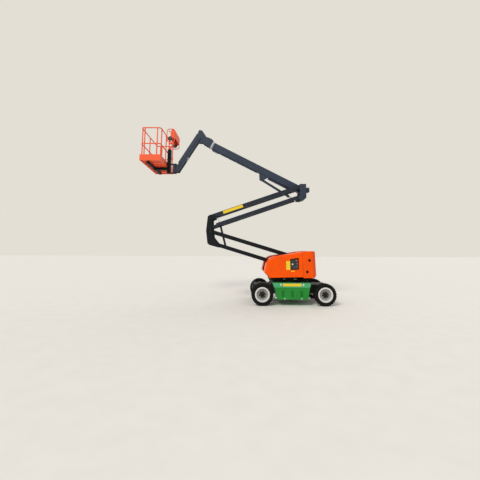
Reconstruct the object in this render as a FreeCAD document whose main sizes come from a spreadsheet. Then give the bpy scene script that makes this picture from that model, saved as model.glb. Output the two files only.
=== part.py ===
import FreeCAD, Part
import math
import os
import re
import Sketcher

# Self-propelled articulating boom lift: a four-wheel chassis, a slewing turret, a riser of two
# parallelograms with a knuckle between them, a telescopic boom, a jib and a work platform.
# Millimetres. X points forward, to the platform, Y to the left and Z up. The origin lies on the
# ground under the middle of the whole machine, as it stands with its booms half raised.

# Driving sizes: name, value, meaning. Angles are in degrees.
SIZES = (
    ("shift_x", -1919, "X of the chassis centre"),
    ("wheel_base", 2030, "front axle to rear axle"),
    ("tyre_diameter", 711, "tyre outside diameter"),
    ("tyre_width", 240, "tyre width"),
    ("machine_width", 1750, "over the tyres' outer faces"),
    ("bead_diameter", 445, "rim seat under the tyre"),
    ("kingpin_y", 590, "kingpin from the centre line"),
    ("kingpin_radius", 24, "kingpin radius"),
    ("steer_arm", 150, "steering arm, kingpin to tie rod"),
    ("tie_pin_radius", 12, "tie rod pins"),
    ("spindle_radius", 40, "wheel spindles"),
    ("spindle_out", 50, "spindle end beyond the wheel's middle"),
    ("rail_y", 340, "outer face of the chassis side plates"),
    ("rail_thick", 16, "chassis side plate"),
    ("deck_z", 735, "top of the chassis deck under the turret"),
    ("end_z", 620, "top of the chassis over the axles"),
    ("belly_z", 330, "underside of the chassis"),
    ("tie_down_radius", 26, "tie-down holes in the end plates"),
    ("axle_beam", 120, "height and width of the axle beams"),
    ("box_face_y", 856, "outer face of a battery box"),
    ("box_top_z", 722, "top of a battery box"),
    ("box_bottom_z", 206, "underside of a battery box"),
    ("band_z", 575, "lower edge of the battery box's top band"),
    ("box_fore_gap", 335, "front axle to the battery box's front end"),
    ("box_aft_gap", 450, "rear axle to the battery box's rear end"),
    ("sheet_wall", 5, "pressed covers and box sheets"),
    ("door_thick", 8, "battery door over its flanges"),
    ("slew_radius", 380, "slewing ring outside radius"),
    ("slew_z", 765, "underside of the slewing ring"),
    ("slew_height", 28, "height of the slewing ring"),
    ("turret_plate", 24, "turret base plate"),
    ("channel_gap", 23, "pin plates' outer face to the cover beside the channel"),
    ("cover_y", 850, "outer face of the covers"),
    ("cover_round", 55, "rounding of the covers' outer edges"),
    ("joint_top", -294, "X of the covers' rear edge, at the top"),
    ("joint_bottom", -321, "X of the covers' rear edge, at the bottom"),
    ("cover_top", 1716, "height of the covers at that edge"),
    ("joint_gap", 6, "gap between cover and counterweight"),
    ("riser_pin_x", -150, "turret pin of the lower riser arm"),
    ("riser_pin_z", 1140, "height of that pin"),
    ("lower_length", 3113, "lower riser arm, pin to pin"),
    ("lower_angle", 16.8, "lower riser above level"),
    ("upper_length", 3523, "upper riser arm, pin to pin"),
    ("upper_angle", 19.05, "upper riser above level"),
    ("link_back", 30, "link pins behind the arm pins"),
    ("lower_link_rise", 410, "lower link's pins above the lower arm's"),
    ("knuckle_rise", 900, "upper arm's pin above the lower arm's pin"),
    ("upper_link_drop", 380, "upper link's pins under the upper arm's"),
    ("arm_inner_y", 182, "inner face of the twin arms"),
    ("arm_thick", 60, "width of each arm tube"),
    ("arm_wall", 6, "wall of the arm tubes"),
    ("lower_height", 130, "height of the lower riser arm"),
    ("upper_height", 136, "height of the upper riser arm"),
    ("link_height", 92, "height of the riser links at their pins"),
    ("link_extra", 38, "added height of the riser links between their pins"),
    ("plate_thick", 15, "knuckle, upright and turret cheek plates"),
    ("plate_gap", 5, "arm to cheek plate, each side"),
    ("inner_plate_y", 100, "inner face of the inner pin plates"),
    ("pin_radius", 28, "riser and boom pins"),
    ("pin_clear", 0.3, "pin to bore, on the radius"),
    ("pin_proud", 9, "cylinder pins beyond the rod's eye"),
    ("riser_cylinder_along", 2500, "riser cylinder's pin along the lower arm"),
    ("boom_pivot_back", 30, "boom pivot behind the upper arm's rear pin"),
    ("boom_pivot_drop", 165, "boom pivot under the upper arm's rear pin"),
    ("boom_angle", 27.5, "main boom above level"),
    ("boom_length", 3718, "main boom, pivot to front end"),
    ("boom_tail", 150, "main boom behind its pivot"),
    ("boom_height", 250, "main boom tube height"),
    ("boom_width", 170, "main boom tube width"),
    ("boom_wall", 6, "main boom wall"),
    ("lift_along", 1549, "lift cylinder's pin along the boom"),
    ("lift_drop", 300, "lift cylinder's pin under the boom's axis"),
    ("foot_x", 200, "lift cylinder's foot ahead of the upper arm's rear pin"),
    ("foot_drop", 530, "lift cylinder's foot under that pin"),
    ("fly_height", 210, "fly boom tube height"),
    ("fly_width", 130, "fly boom tube width"),
    ("fly_wall", 6, "fly boom wall"),
    ("fly_rear", 900, "rear end of the fly boom, from the main boom's pivot"),
    ("fly_out", 37, "fly boom showing ahead of the main boom"),
    ("pad_gap", 0.8, "sliding pads to tube"),
    ("head_pin_along", 336, "jib mount's pin ahead of the fly head's rear edge"),
    ("head_pin_rise", 22, "jib mount's pin above the boom's axis"),
    ("jib_pin_x", 201, "jib pin ahead of the mount's pin"),
    ("jib_pin_z", 326, "jib pin above the mount's pin"),
    ("jib_link_drop", 222, "jib link's pins under the jib arm's"),
    ("jib_length", 1480, "jib, pin to pin"),
    ("jib_angle", 58.8, "jib below level"),
    ("jib_height", 100, "jib arm tube height"),
    ("jib_width", 90, "jib arm tube width"),
    ("jib_duct", 36, "height of the hose duct on the jib arm"),
    ("jib_pin_radius", 20, "jib pins"),
    ("turn_ahead", 152, "platform's turning axis ahead of the jib's end pin"),
    ("turn_radius", 72, "rotary actuator radius"),
    ("platform_gap", 285, "platform floor ahead of the turning axis"),
    ("platform_depth", 715, "platform floor, front to back"),
    ("platform_width", 1830, "platform floor, side to side"),
    ("floor_rise", -44, "platform floor above the jib's end pin"),
    ("rail_rise", 1138, "top rail above the floor"),
    ("mid_rise", 570, "mid rail above the floor"),
    ("toe_rise", 170, "toe board above the floor"),
    ("toe_sheet", 4, "toe board sheet"),
    ("tube_radius", 19, "guard rail tube radius"),
    ("corner_radius", 90, "bend radius of the rails' corners"),
    ("gate_width", 390, "platform gate"),
    ("hinge_gap", 12, "gate stile and post from the gate's hinge axis"),
)

# Lengths that follow from the driving sizes.
RELATIONS = {
    "axle_x": "wheel_base / 2",
    "axle_z": "tyre_diameter / 2",
    "wheel_y": "(machine_width - tyre_width) / 2",
    "tyre_radius": "tyre_diameter / 2",
    "bead_radius": "bead_diameter / 2",
    "turret_z": "slew_z + slew_height",
    "floor_z": "turret_z + turret_plate",
    "arm_outer_y": "arm_inner_y + arm_thick",
    "plate_y": "arm_outer_y + plate_gap",
    "plate_outer_y": "plate_y + plate_thick",
    "channel_y": "plate_outer_y + channel_gap",
    "box_fore": "axle_x - box_fore_gap",
    "box_aft": "box_aft_gap - axle_x",
    "bore": "pin_radius + pin_clear",
    "jib_bore": "jib_pin_radius + pin_clear",
    "platform_half": "platform_width / 2",
    "gate_high": "platform_gap + platform_depth - 2 * tube_radius - corner_radius - 44",
    "gate_low": "gate_high - gate_width",
}

doc = FreeCAD.newDocument("boom_lift")
sheet = doc.addObject("Spreadsheet::Sheet", "Sizes")
for row, (alias, number, meaning) in enumerate(SIZES, start=1):
    sheet.set(f"A{row}", meaning)
    sheet.set(f"B{row}", str(number))
    sheet.setAlias(f"B{row}", alias)
doc.recompute()
ALIASES = {row[0] for row in SIZES}
AXES = {"x": FreeCAD.Vector(1, 0, 0), "y": FreeCAD.Vector(0, 1, 0), "z": FreeCAD.Vector(0, 0, 1)}
TURN_Z_TO = {
    "x": FreeCAD.Rotation(AXES["y"], 90),
    "y": FreeCAD.Rotation(AXES["x"], -90),
    "z": FreeCAD.Rotation(),
}
parts = []


def formula(text):
    """Turns size names into references to the sheet's cells."""
    def refer(word):
        name = word[0]
        if name in RELATIONS:
            return "(" + formula(RELATIONS[name]) + ")"
        return "Sizes." + name if name in ALIASES else name
    return re.sub(r"[a-z][a-z0-9_]*", refer, str(text))


def value(text):
    """The number that a formula of size names stands for."""
    return float(sheet.evalExpression(formula(text)))


def set_base(item, x, y, z):
    """Ties an object's place to the sheet."""
    for axis, text in zip("xyz", (x, y, z)):
        item.setExpression("Placement.Base." + axis, formula(text))


def slab(x0, x1, y0, y1, z0, z1):
    """A box between six planes."""
    item = doc.addObject("Part::Box", "slab")
    for side, low, high in (("Length", x0, x1), ("Width", y0, y1), ("Height", z0, z1)):
        item.setExpression(side, formula(f"({high}) - ({low})"))
    set_base(item, x0, y0, z0)
    return item


def bar(axis, radius, x, y, z, length):
    """A round bar that starts at x, y, z and runs along an axis."""
    item = doc.addObject("Part::Cylinder", "bar")
    item.Placement = FreeCAD.Placement(FreeCAD.Vector(), TURN_Z_TO[axis])
    item.setExpression("Radius", formula(radius))
    item.setExpression("Height", formula(length))
    set_base(item, x, y, z)
    return item


def cross_bar(radius, x, z, low, high):
    """A round bar across the machine, from y = low to y = high."""
    return bar("y", radius, x, low, z, f"({high}) - ({low})")


def fuse(*items):
    """One solid of several that touch."""
    if len(items) == 1:
        return items[0]
    item = doc.addObject("Part::MultiFuse", "fuse")
    item.Shapes = list(items)
    item.Refine = True
    return item


def cut(base, *tools):
    """A solid less its holes and recesses."""
    item = doc.addObject("Part::Cut", "cut")
    item.Base = base
    item.Tool = fuse(*tools)
    item.Refine = True
    return item


def group(*items):
    """Solids of one sub-part that lie apart."""
    item = doc.addObject("Part::Compound", "group")
    item.Links = list(items)
    return item


def mirror(source):
    """The same piece on the machine's right side."""
    item = doc.addObject("Part::Mirroring", "mirror")
    item.Source = source
    item.Normal = AXES["y"]
    return item


def own_plane(body, role):
    """One of a body's own origin planes."""
    return next(item for item in body.Origin.OriginFeatures if item.Role == role)


def outline_sketch(body, role, points):
    """A closed outline whose corners are tied to the sheet. Points: across, up."""
    sketch = body.newObject("Sketcher::SketchObject", "outline")
    sketch.AttachmentSupport = [(own_plane(body, role), "")]
    sketch.MapMode = "FlatFace"
    corners = [FreeCAD.Vector(value(across), value(up), 0) for across, up in points]
    count = len(corners)
    for index, corner in enumerate(corners):
        sketch.addGeometry(Part.LineSegment(corner, corners[(index + 1) % count]))
    for index in range(count):
        sketch.addConstraint(Sketcher.Constraint("Coincident", index, 2, (index + 1) % count, 1))
    for index, (point, corner) in enumerate(zip(points, corners)):
        for kind, text, start in (("DistanceX", point[0], corner.x), ("DistanceY", point[1], corner.y)):
            number = sketch.addConstraint(Sketcher.Constraint(kind, -1, 1, index, 1, start))
            sketch.setExpression(f"Constraints[{number}]", formula(text))
    return sketch


def profile(points, low, high):
    """A plate or block: its side outline (x, z, corner radius) padded from y = low to high."""
    body = doc.addObject("PartDesign::Body", "profile")
    sketch = outline_sketch(body, "XZ_Plane", [point[:2] for point in points])
    pad = body.newObject("PartDesign::Pad", "pad")
    pad.Profile = sketch
    pad.Reversed = True
    pad.setExpression("Length", formula(f"({high}) - ({low})"))
    rounds = [point for point in points if len(point) > 2]
    last = pad
    for corner_x, corner_z, radius in rounds:
        doc.recompute()
        place = (value(corner_x), value(corner_z))
        names = []
        for number, edge in enumerate(last.Shape.Edges, start=1):
            ends = [(spot.Point.x, spot.Point.z) for spot in edge.Vertexes]
            if all(math.dist(end, place) < 0.01 for end in ends):
                names.append(f"Edge{number}")
        fillet = body.newObject("PartDesign::Fillet", "rounding")
        fillet.Base = (last, names)
        fillet.setExpression("Radius", formula(radius))
        last = fillet
    set_base(body, 0, low, 0)
    return body


def plan(points, low, high):
    """A plate or block: its plan outline (x, y) padded from z = low to high."""
    body = doc.addObject("PartDesign::Body", "plan")
    sketch = outline_sketch(body, "XY_Plane", points)
    pad = body.newObject("PartDesign::Pad", "pad")
    pad.Profile = sketch
    pad.setExpression("Length", formula(f"({high}) - ({low})"))
    set_base(body, 0, 0, low)
    return body


def common(*items):
    """The space that solids share."""
    item = doc.addObject("Part::MultiCommon", "common")
    item.Shapes = list(items)
    item.Refine = True
    return item


def turned(points):
    """A turned piece about the Y axis, from its half section. Points: radius, y."""
    body = doc.addObject("PartDesign::Body", "turned")
    sketch = outline_sketch(body, "XY_Plane", points)
    revolution = body.newObject("PartDesign::Revolution", "revolution")
    revolution.Profile = sketch
    revolution.ReferenceAxis = (sketch, ["V_Axis"])
    revolution.Angle = 360
    return body


def place(item, label, spot=(0, 0, 0), angle=0, turn=0):
    """Makes an object a named sub-part at its place on the machine. Angle tips its nose up."""
    item.Label = label
    tilt = FreeCAD.Rotation(AXES["y"], -angle) * FreeCAD.Rotation(AXES["z"], turn)
    item.Placement = FreeCAD.Placement(FreeCAD.Vector(spot[0] + SHIFT, spot[1], spot[2]), tilt)
    parts.append(item)
    return item


def ahead(start, length, angle, rise=0):
    """The point a length along a line that climbs at an angle, and a rise square to it."""
    lean = math.radians(angle)
    x = start[0] + length * math.cos(lean) - rise * math.sin(lean)
    z = start[2] + length * math.sin(lean) + rise * math.cos(lean)
    return (x, 0, z)


SHIFT = value("shift_x")

# Chassis: side plates, deck, belly and end plates, and the pedestal under the slewing ring
chassis_side = (
    ("-axle_x - 240", "end_z", 20),
    ("-axle_x + 300", "end_z", 20),
    ("-axle_x + 400", "deck_z", 20),
    ("axle_x - 400", "deck_z", 20),
    ("axle_x - 300", "end_z", 20),
    ("axle_x + 260", "end_z", 20),
    ("axle_x + 300", "end_z - 60", 20),
    ("axle_x + 300", "axle_z + 75"),
    ("axle_x - 200", "axle_z + 75"),
    ("axle_x - 300", "belly_z"),
    ("-axle_x + 300", "belly_z"),
    ("-axle_x + 200", "axle_z + 75"),
    ("-axle_x - 280", "axle_z + 75"),
    ("-axle_x - 280", "end_z - 60", 20),
)
deck = (
    ("-axle_x - 230", "end_z"),
    ("-axle_x + 300", "end_z"),
    ("-axle_x + 400", "deck_z"),
    ("axle_x - 400", "deck_z"),
    ("axle_x - 300", "end_z"),
    ("axle_x + 250", "end_z"),
    ("axle_x + 250", "end_z - 12"),
    ("axle_x - 306", "end_z - 12"),
    ("axle_x - 406", "deck_z - 12"),
    ("-axle_x + 406", "deck_z - 12"),
    ("-axle_x + 306", "end_z - 12"),
    ("-axle_x - 230", "end_z - 12"),
)
chassis = fuse(
    profile(chassis_side, "rail_y - rail_thick", "rail_y"),
    profile(chassis_side, "-rail_y", "-rail_y + rail_thick"),
    profile(deck, "-rail_y + rail_thick", "rail_y - rail_thick"),
    slab("-axle_x + 300", "axle_x - 300", "-rail_y + rail_thick", "rail_y - rail_thick", "belly_z", "belly_z + 12"),
    slab("axle_x + 284", "axle_x + 300", "-rail_y + rail_thick", "rail_y - rail_thick", "axle_z + 75", "end_z - 60"),
    slab("-axle_x - 280", "-axle_x - 264", "-rail_y + rail_thick", "rail_y - rail_thick", "axle_z + 75", "end_z - 60"),
    slab("axle_x - 312", "axle_x - 300", "-rail_y + rail_thick", "rail_y - rail_thick", "belly_z", "end_z"),
    slab("-axle_x + 300", "-axle_x + 312", "-rail_y + rail_thick", "rail_y - rail_thick", "belly_z", "end_z"),
)
pedestal = cut(
    bar("z", "slew_radius + 12", 0, 0, "deck_z", "slew_z - deck_z"),
    bar("z", "slew_radius - 70", 0, 0, "deck_z - 1", "slew_z - deck_z + 2"),
)
tie_down_holes = [
    bar("x", "tie_down_radius", place_x, place_y, "end_z - 125", 60)
    for place_x in ("axle_x + 262", "-axle_x - 300")
    for place_y in (-200, 200)
]
place(cut(fuse(chassis, pedestal), *tie_down_holes), "chassis_frame")
ring = cut(
    bar("z", "slew_radius", 0, 0, "slew_z", "slew_height"),
    bar("z", "slew_radius - 60", 0, 0, "slew_z - 1", "slew_height + 2"),
)
place(ring, "slewing_ring")

# Axles: a box beam with a fork for each kingpin in front, and a beam with hub housings behind
fork_parts = [
    slab("-axle_beam / 2", "axle_beam / 2", "-kingpin_y + 60", "kingpin_y - 60", "-axle_beam / 2", "axle_beam / 2"),
    slab(-90, 90, "-rail_y", "rail_y", "axle_beam / 2", 75),
]
for side in (-1, 1):
    fork_parts.append(slab(-45, 45, f"{side} * (kingpin_y - 67) - 10", f"{side} * (kingpin_y - 67) + 10", -85, 85))
    for low in (65, -85):
        middle = f"{side} * (kingpin_y - 16)"
        fork_parts.append(slab(-45, 45, f"{middle} - 56", f"{middle} + 56", low, low + 20))
kingpin_holes = [
    bar("z", "kingpin_radius + pin_clear", 0, f"{side} * kingpin_y", -100, 200)
    for side in (-1, 1)
]
place(cut(fuse(*fork_parts), *kingpin_holes), "front_axle", (value("axle_x"), 0, value("axle_z")))
drive_axle = fuse(
    slab("-axle_beam / 2", "axle_beam / 2", "-kingpin_y", "kingpin_y", "-axle_beam / 2", "axle_beam / 2"),
    slab(-90, 90, "-rail_y", "rail_y", "axle_beam / 2", 75),
    cross_bar(105, 0, 0, "-kingpin_y - 20", "-kingpin_y + 150"),
    cross_bar(105, 0, 0, "kingpin_y - 150", "kingpin_y + 20"),
    cross_bar("spindle_radius", 0, 0, "-wheel_y - spindle_out", "wheel_y + spindle_out"),
)
place(drive_axle, "rear_axle", (-value("axle_x"), 0, value("axle_z")))

# Steering: a knuckle on each kingpin, whose arms the tie rod joins
knuckle = cut(
    fuse(
        bar("z", "kingpin_radius", 0, 0, -84, 168),
        slab(-34, 34, -32, 34, -60, 60),
        cross_bar("spindle_radius", 0, 0, 0, "wheel_y - kingpin_y + spindle_out"),
        slab("-steer_arm - 22", -20, -14, 14, -46, -26),
        bar("z", 22, "-steer_arm", 0, -46, 20),
    ),
    bar("z", "tie_pin_radius + pin_clear", "-steer_arm", 0, -50, 30),
)
kingpin_spot = (value("axle_x"), value("kingpin_y"), value("axle_z"))
place(group(knuckle), "steer_knuckle_left", kingpin_spot)
place(mirror(knuckle), "steer_knuckle_right", (kingpin_spot[0], -kingpin_spot[1], kingpin_spot[2]))
tie_ends = []
for end_y in ("0", "-2 * kingpin_y"):
    tie_ends += [bar("z", "tie_pin_radius", 0, end_y, -6, 40), bar("z", 20, 0, end_y, -13, 26)]
tie_rod = fuse(cross_bar(10, 0, 0, "-2 * kingpin_y + 8", -8), *tie_ends)
place(tie_rod, "tie_rod", (value("axle_x - steer_arm"), value("kingpin_y"), value("axle_z") - 60))

# Wheels: a tyre on a turned rim whose hub cap closes over the spindle's end
tyre_section = (
    ("bead_radius + pin_clear", "-tyre_width / 2 + 25"),
    ("bead_radius + 24.3", "-tyre_width / 2 + 25"),
    ("bead_radius + 34", "-tyre_width / 2 + 7"),
    ("tyre_radius - 70", "-tyre_width / 2"),
    ("tyre_radius - 16", "-tyre_width / 2 + 7"),
    ("tyre_radius", "-tyre_width / 2 + 34"),
    ("tyre_radius", "tyre_width / 2 - 34"),
    ("tyre_radius - 16", "tyre_width / 2 - 7"),
    ("tyre_radius - 70", "tyre_width / 2"),
    ("bead_radius + 34", "tyre_width / 2 - 7"),
    ("bead_radius + 24.3", "tyre_width / 2 - 25"),
    ("bead_radius + pin_clear", "tyre_width / 2 - 25"),
)
rim_section = (
    (0, "spindle_out + 2"),
    ("spindle_radius + pin_clear", "spindle_out + 2"),
    ("spindle_radius + pin_clear", -60),
    (75, -60),
    (75, 16),
    (150, 16),
    ("bead_radius - 30", 40),
    ("bead_radius - 18", -40),
    ("bead_radius - 20", "-tyre_width / 2 + 8"),
    ("bead_radius + 24", "-tyre_width / 2 + 8"),
    ("bead_radius + 24", "-tyre_width / 2 + 24.7"),
    ("bead_radius", "-tyre_width / 2 + 24.7"),
    ("bead_radius", "tyre_width / 2 - 24.7"),
    ("bead_radius + 24", "tyre_width / 2 - 24.7"),
    ("bead_radius + 24", "tyre_width / 2 - 8"),
    ("bead_radius - 32", "tyre_width / 2 - 8"),
    ("bead_radius - 36", 66),
    (150, 42),
    (114, 42),
    (108, "spindle_out + 24"),
    (0, "spindle_out + 24"),
)
WHEELS = (
    # name, sign of x, sign of y
    ("front_left", 1, 1),
    ("front_right", 1, -1),
    ("rear_left", -1, 1),
    ("rear_right", -1, -1),
)
for name, sign_x, sign_y in WHEELS:
    centre = (sign_x * value("axle_x"), sign_y * value("wheel_y"), value("axle_z"))
    face_out = 0 if sign_y > 0 else 180
    place(turned(tyre_section), "tyre_" + name, centre, turn=face_out)
    place(turned(rim_section), "rim_" + name, centre, turn=face_out)

# Battery boxes: pressed housings open on the outer face, the battery block in each, and a door
# with three louvre groups, hinged under the top band
box_side = (
    ("box_aft + 15", "box_top_z"),
    ("box_fore", "box_top_z"),
    ("box_fore - 61", "band_z"),
    ("box_fore - 105", 478),
    ("box_fore - 149", "box_bottom_z"),
    ("box_aft + 106", "box_bottom_z"),
    ("box_aft + 45", "band_z"),
    ("box_aft", 700),
)
box_inside = (
    ("box_aft + 20", "box_top_z - sheet_wall"),
    ("box_fore - 8", "box_top_z - sheet_wall"),
    ("box_fore - 67", "band_z"),
    ("box_fore - 111", 478),
    ("box_fore - 154", "box_bottom_z + sheet_wall"),
    ("box_aft + 111", "box_bottom_z + sheet_wall"),
    ("box_aft + 51", "band_z"),
    ("box_aft + 6", 700),
)
door_side = (
    ("box_fore - 64", "band_z - 4"),
    ("box_fore - 106", 478),
    ("box_fore - 150", "box_bottom_z"),
    ("box_aft + 107", "box_bottom_z"),
    ("box_aft + 48", "band_z - 4"),
)
battery_box = cut(
    profile(box_side, "rail_y", "box_face_y"),
    profile(box_inside, "rail_y + sheet_wall", "box_face_y - sheet_wall"),
    slab(-700, 700, "box_face_y - 2 * sheet_wall", "box_face_y + 1", "box_bottom_z - 1", "band_z"),
)
place(group(battery_box), "battery_box_left")
place(mirror(battery_box), "battery_box_right")
louvres = []
for louvre_x in ("box_fore - 330", "(box_fore + box_aft) / 2 - 7.5", "box_aft + 315"):
    for step in range(7):
        louvre_z = 300 + 28 * step
        louvres.append(slab(f"{louvre_x} - 42", f"{louvre_x} + 42", -1, 20, louvre_z, louvre_z + 11))
door_plate = cut(
    profile(door_side, 0, "door_thick"),
    *louvres,
)
hinge_bar = bar("x", 6, "box_aft + 85", 6, "band_z - 2", "box_fore - box_aft - 195")
battery_door = fuse(door_plate, hinge_bar)
place(group(battery_door), "battery_door_left", (0, value("box_face_y + 0.6"), 0))
place(mirror(battery_door), "battery_door_right", (0, -value("box_face_y + 0.6"), 0))
battery = slab("box_aft + 165", "box_fore - 240", "rail_y + 70", "box_face_y - 60", "box_bottom_z + sheet_wall", "box_bottom_z + 330")
place(group(battery), "battery_pack_left")
place(mirror(battery), "battery_pack_right")

# Turret: base plate, cheek plates that carry the lower riser's pins, and the pins
LOWER_PIN = (value("riser_pin_x"), 0, value("riser_pin_z"))
turret_plan = ((-690, -600), (480, -640), (740, -300), (740, 300), (480, 640), (-690, 600))
cheek_side = (
    (-470, "floor_z - 4"),
    ("riser_pin_x - link_back - 120", "riser_pin_z + 60"),
    ("riser_pin_x - link_back - 70", "riser_pin_z + lower_link_rise + 58", 40),
    ("riser_pin_x - link_back + 70", "riser_pin_z + lower_link_rise + 58", 40),
    ("riser_pin_x + 140", "riser_pin_z + 40", 60),
    (300, "floor_z + 60"),
    (420, "floor_z - 4"),
)
turret = fuse(
    plan(turret_plan, "turret_z", "floor_z"),
    profile(cheek_side, "plate_y", "plate_outer_y"),
    profile(cheek_side, "-plate_outer_y", "-plate_y"),
    cross_bar("pin_radius", "riser_pin_x", "riser_pin_z", "-plate_outer_y - 12", "plate_outer_y + 12"),
    cross_bar("pin_radius", "riser_pin_x - link_back", "riser_pin_z + lower_link_rise",
              "arm_inner_y", "plate_outer_y + 12"),
    cross_bar("pin_radius", "riser_pin_x - link_back", "riser_pin_z + lower_link_rise",
              "-plate_outer_y - 12", "-arm_inner_y"),
    slab(-440, -424, "-plate_y", "plate_y", "floor_z - 2", "floor_z + 180"),
    slab(-690, -340, -560, 560, "floor_z - 2", 883.4),
    slab(-270, -90, "plate_outer_y - 3", "channel_y - 0.6", 1500, 1680),
    slab(-270, -90, "-channel_y + 0.6", "-plate_outer_y + 3", 1500, 1680),
)
place(turret, "turret_frame")

# Counterweight: a casting across the tail, recessed in the middle for the upright
counterweight_side = (
    ("joint_top - joint_gap", "cover_top"),
    (-640, 1748),
    (-735, 1746, 60),
    (-764, 962),
    (-707, 886),
    ("joint_bottom - joint_gap", 884),
)
counterweight_plan = ((-100, "-cover_y"), (-100, "cover_y"), (-640, "cover_y"), (-770, "cover_y - 130"),
                      (-770, "-cover_y + 130"), (-640, "-cover_y"))
pockets = [
    slab(-780, 0, "-channel_y", "channel_y", 1250, 1900),
    slab(-480, 0, "-plate_outer_y - 14", "plate_outer_y + 14", 800, 1260),
]
for side in (-1, 1):
    middle = f"{side} * (cover_y + channel_y) / 2"
    half = "(cover_y - channel_y) / 2 - 60"
    pockets.append(slab(-560, 0, f"{middle} - ({half})", f"{middle} + {half}", 950, 1640))
    for hole_x, hole_z in ((-530, 1451), (-450, 1082)):
        pockets.append(cross_bar(26, hole_x, hole_z, f"{side} * (cover_y - 25) - 30", f"{side} * (cover_y - 25) + 30"))
weight = cut(
    common(profile(counterweight_side, "-cover_y", "cover_y"), plan(counterweight_plan, 800, 1900)),
    *pockets,
)
place(weight, "counterweight")

# Covers: pressed shells left and right of the channel, hinged along their top inner edges
hood_side = (
    # x, z, corner radius, inward step in x, inward step in z
    ("joint_bottom", 880, 0, -4, -4),
    (764, 855, 0, -4.8, -4),
    (941, 1059, 40, -1.3, 0.2),
    (868, 1351, 30, -1.2, -0.4),
    (742, 1521, 90, -0.7, -0.9),
    (622, 1571, 110, -0.3, -1.1),
    ("joint_top", "cover_top", 0, -4, -1),
)


def hood_block(inset):
    """The cover's solid, or its inside, whose sides lie a sheet's thickness further in."""
    points = []
    for corner_x, corner_z, radius, step_x, step_z in hood_side:
        point = (f"{corner_x} + {inset} * {step_x} * sheet_wall", f"{corner_z} + {inset} * {step_z} * sheet_wall")
        points.append(point + (f"{radius} - {inset} * sheet_wall",) if radius else point)
    body = profile(points, f"channel_y - {inset} * sheet_wall", f"cover_y - {inset} * sheet_wall")
    rear = value("joint_top") + 1 if inset == 0 else value("joint_bottom") + 1
    face_y = value("cover_y - channel_y")
    doc.recompute()
    names = []
    for number, edge in enumerate(body.Tip.Shape.Edges, start=1):
        box = edge.BoundBox
        if abs(box.YMin - face_y) < 0.01 and abs(box.YMax - face_y) < 0.01 and box.XMax > rear:
            names.append(f"Edge{number}")
    rounding = body.newObject("PartDesign::Fillet", "rounding")
    rounding.Base = (body.Group[-2], names)
    rounding.setExpression("Radius", formula(f"cover_round - {inset} * sheet_wall"))
    return body


panel_opening = (
    (101, 1494, 15),
    (-188, 1534, 15),
    (-180, 1150, 15),
    (92, 1140, 15),
)
plain_hood = cut(hood_block(0), hood_block(1))
left_hood = cut(plain_hood, profile(panel_opening, "cover_y - 40", "cover_y + 20"))
place(left_hood, "hood_left")
place(mirror(plain_hood), "hood_right")
controls = fuse(
    slab(-172, 84, 640, "cover_y - 20", 1160, 1486),
    slab(-64, -24, 600, 642, "floor_z", 1300),
)
place(controls, "ground_controls")
place(group(slab(60, 600, -590, -330, "floor_z", 1280)), "power_unit")

# Riser: pin places with the booms as they stand
LINK_REAR = ahead(LOWER_PIN, -value("link_back"), 0, value("lower_link_rise"))
KNUCKLE = ahead(LOWER_PIN, value("lower_length"), value("lower_angle"))
KNUCKLE_TOP = ahead(KNUCKLE, 0, 0, value("knuckle_rise"))
UPPER_LINK_FRONT = ahead(KNUCKLE_TOP, -value("link_back"), 0, -value("upper_link_drop"))
UPRIGHT = ahead(KNUCKLE_TOP, -value("upper_length"), -value("upper_angle"))
PIVOT = ahead(UPRIGHT, -value("boom_pivot_back"), 0, -value("boom_pivot_drop"))


def twin_tubes(low, high, height, inner, thick, wall, end_gap, under="0", over="0", clear="0"):
    """Two parallel box tubes with rounded, solid ends, from x = low to x = high. Between the ends
    they may be higher, under or over their axis, up to a clear length from the high end."""
    tubes = []
    for near, far in ((inner, f"{inner} + {thick}"), (f"-({inner} + {thick})", f"-({inner})")):
        skin = [
            slab(low, high, near, far, f"-{height} / 2", f"{height} / 2"),
            cross_bar(f"{height} / 2", low, 0, near, far),
            cross_bar(f"{height} / 2", high, 0, near, far),
        ]
        hollows = [slab(f"{low} + {end_gap}", f"{high} - {end_gap}", f"{near} + {wall}", f"{far} - {wall}",
                        f"-{height} / 2 + {wall}", f"{height} / 2 - {wall}")]
        if under != over:
            skin.append(slab(f"{low} + {end_gap}", f"{high} - {end_gap} - {clear}", near, far,
                             f"-{height} / 2 - {under}", f"{height} / 2 + {over}"))
            hollows.append(slab(f"{low} + {end_gap} + {wall}", f"{high} - {end_gap} - {clear} - {wall}",
                                f"{near} + {wall}", f"{far} - {wall}",
                                f"-{height} / 2 - {under} + {wall}", f"{height} / 2 + {over} - {wall}"))
        tubes.append(cut(fuse(*skin), *hollows))
    return tubes


def boss(radius, x, half):
    """A cross tube's outside, between the twin arms."""
    return cross_bar(radius, x, 0, f"-({half})", half)


def bores(radius, *places):
    """Holes right across the machine."""
    return [cross_bar(radius, x, z, -400, 400) for x, z in places]


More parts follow.
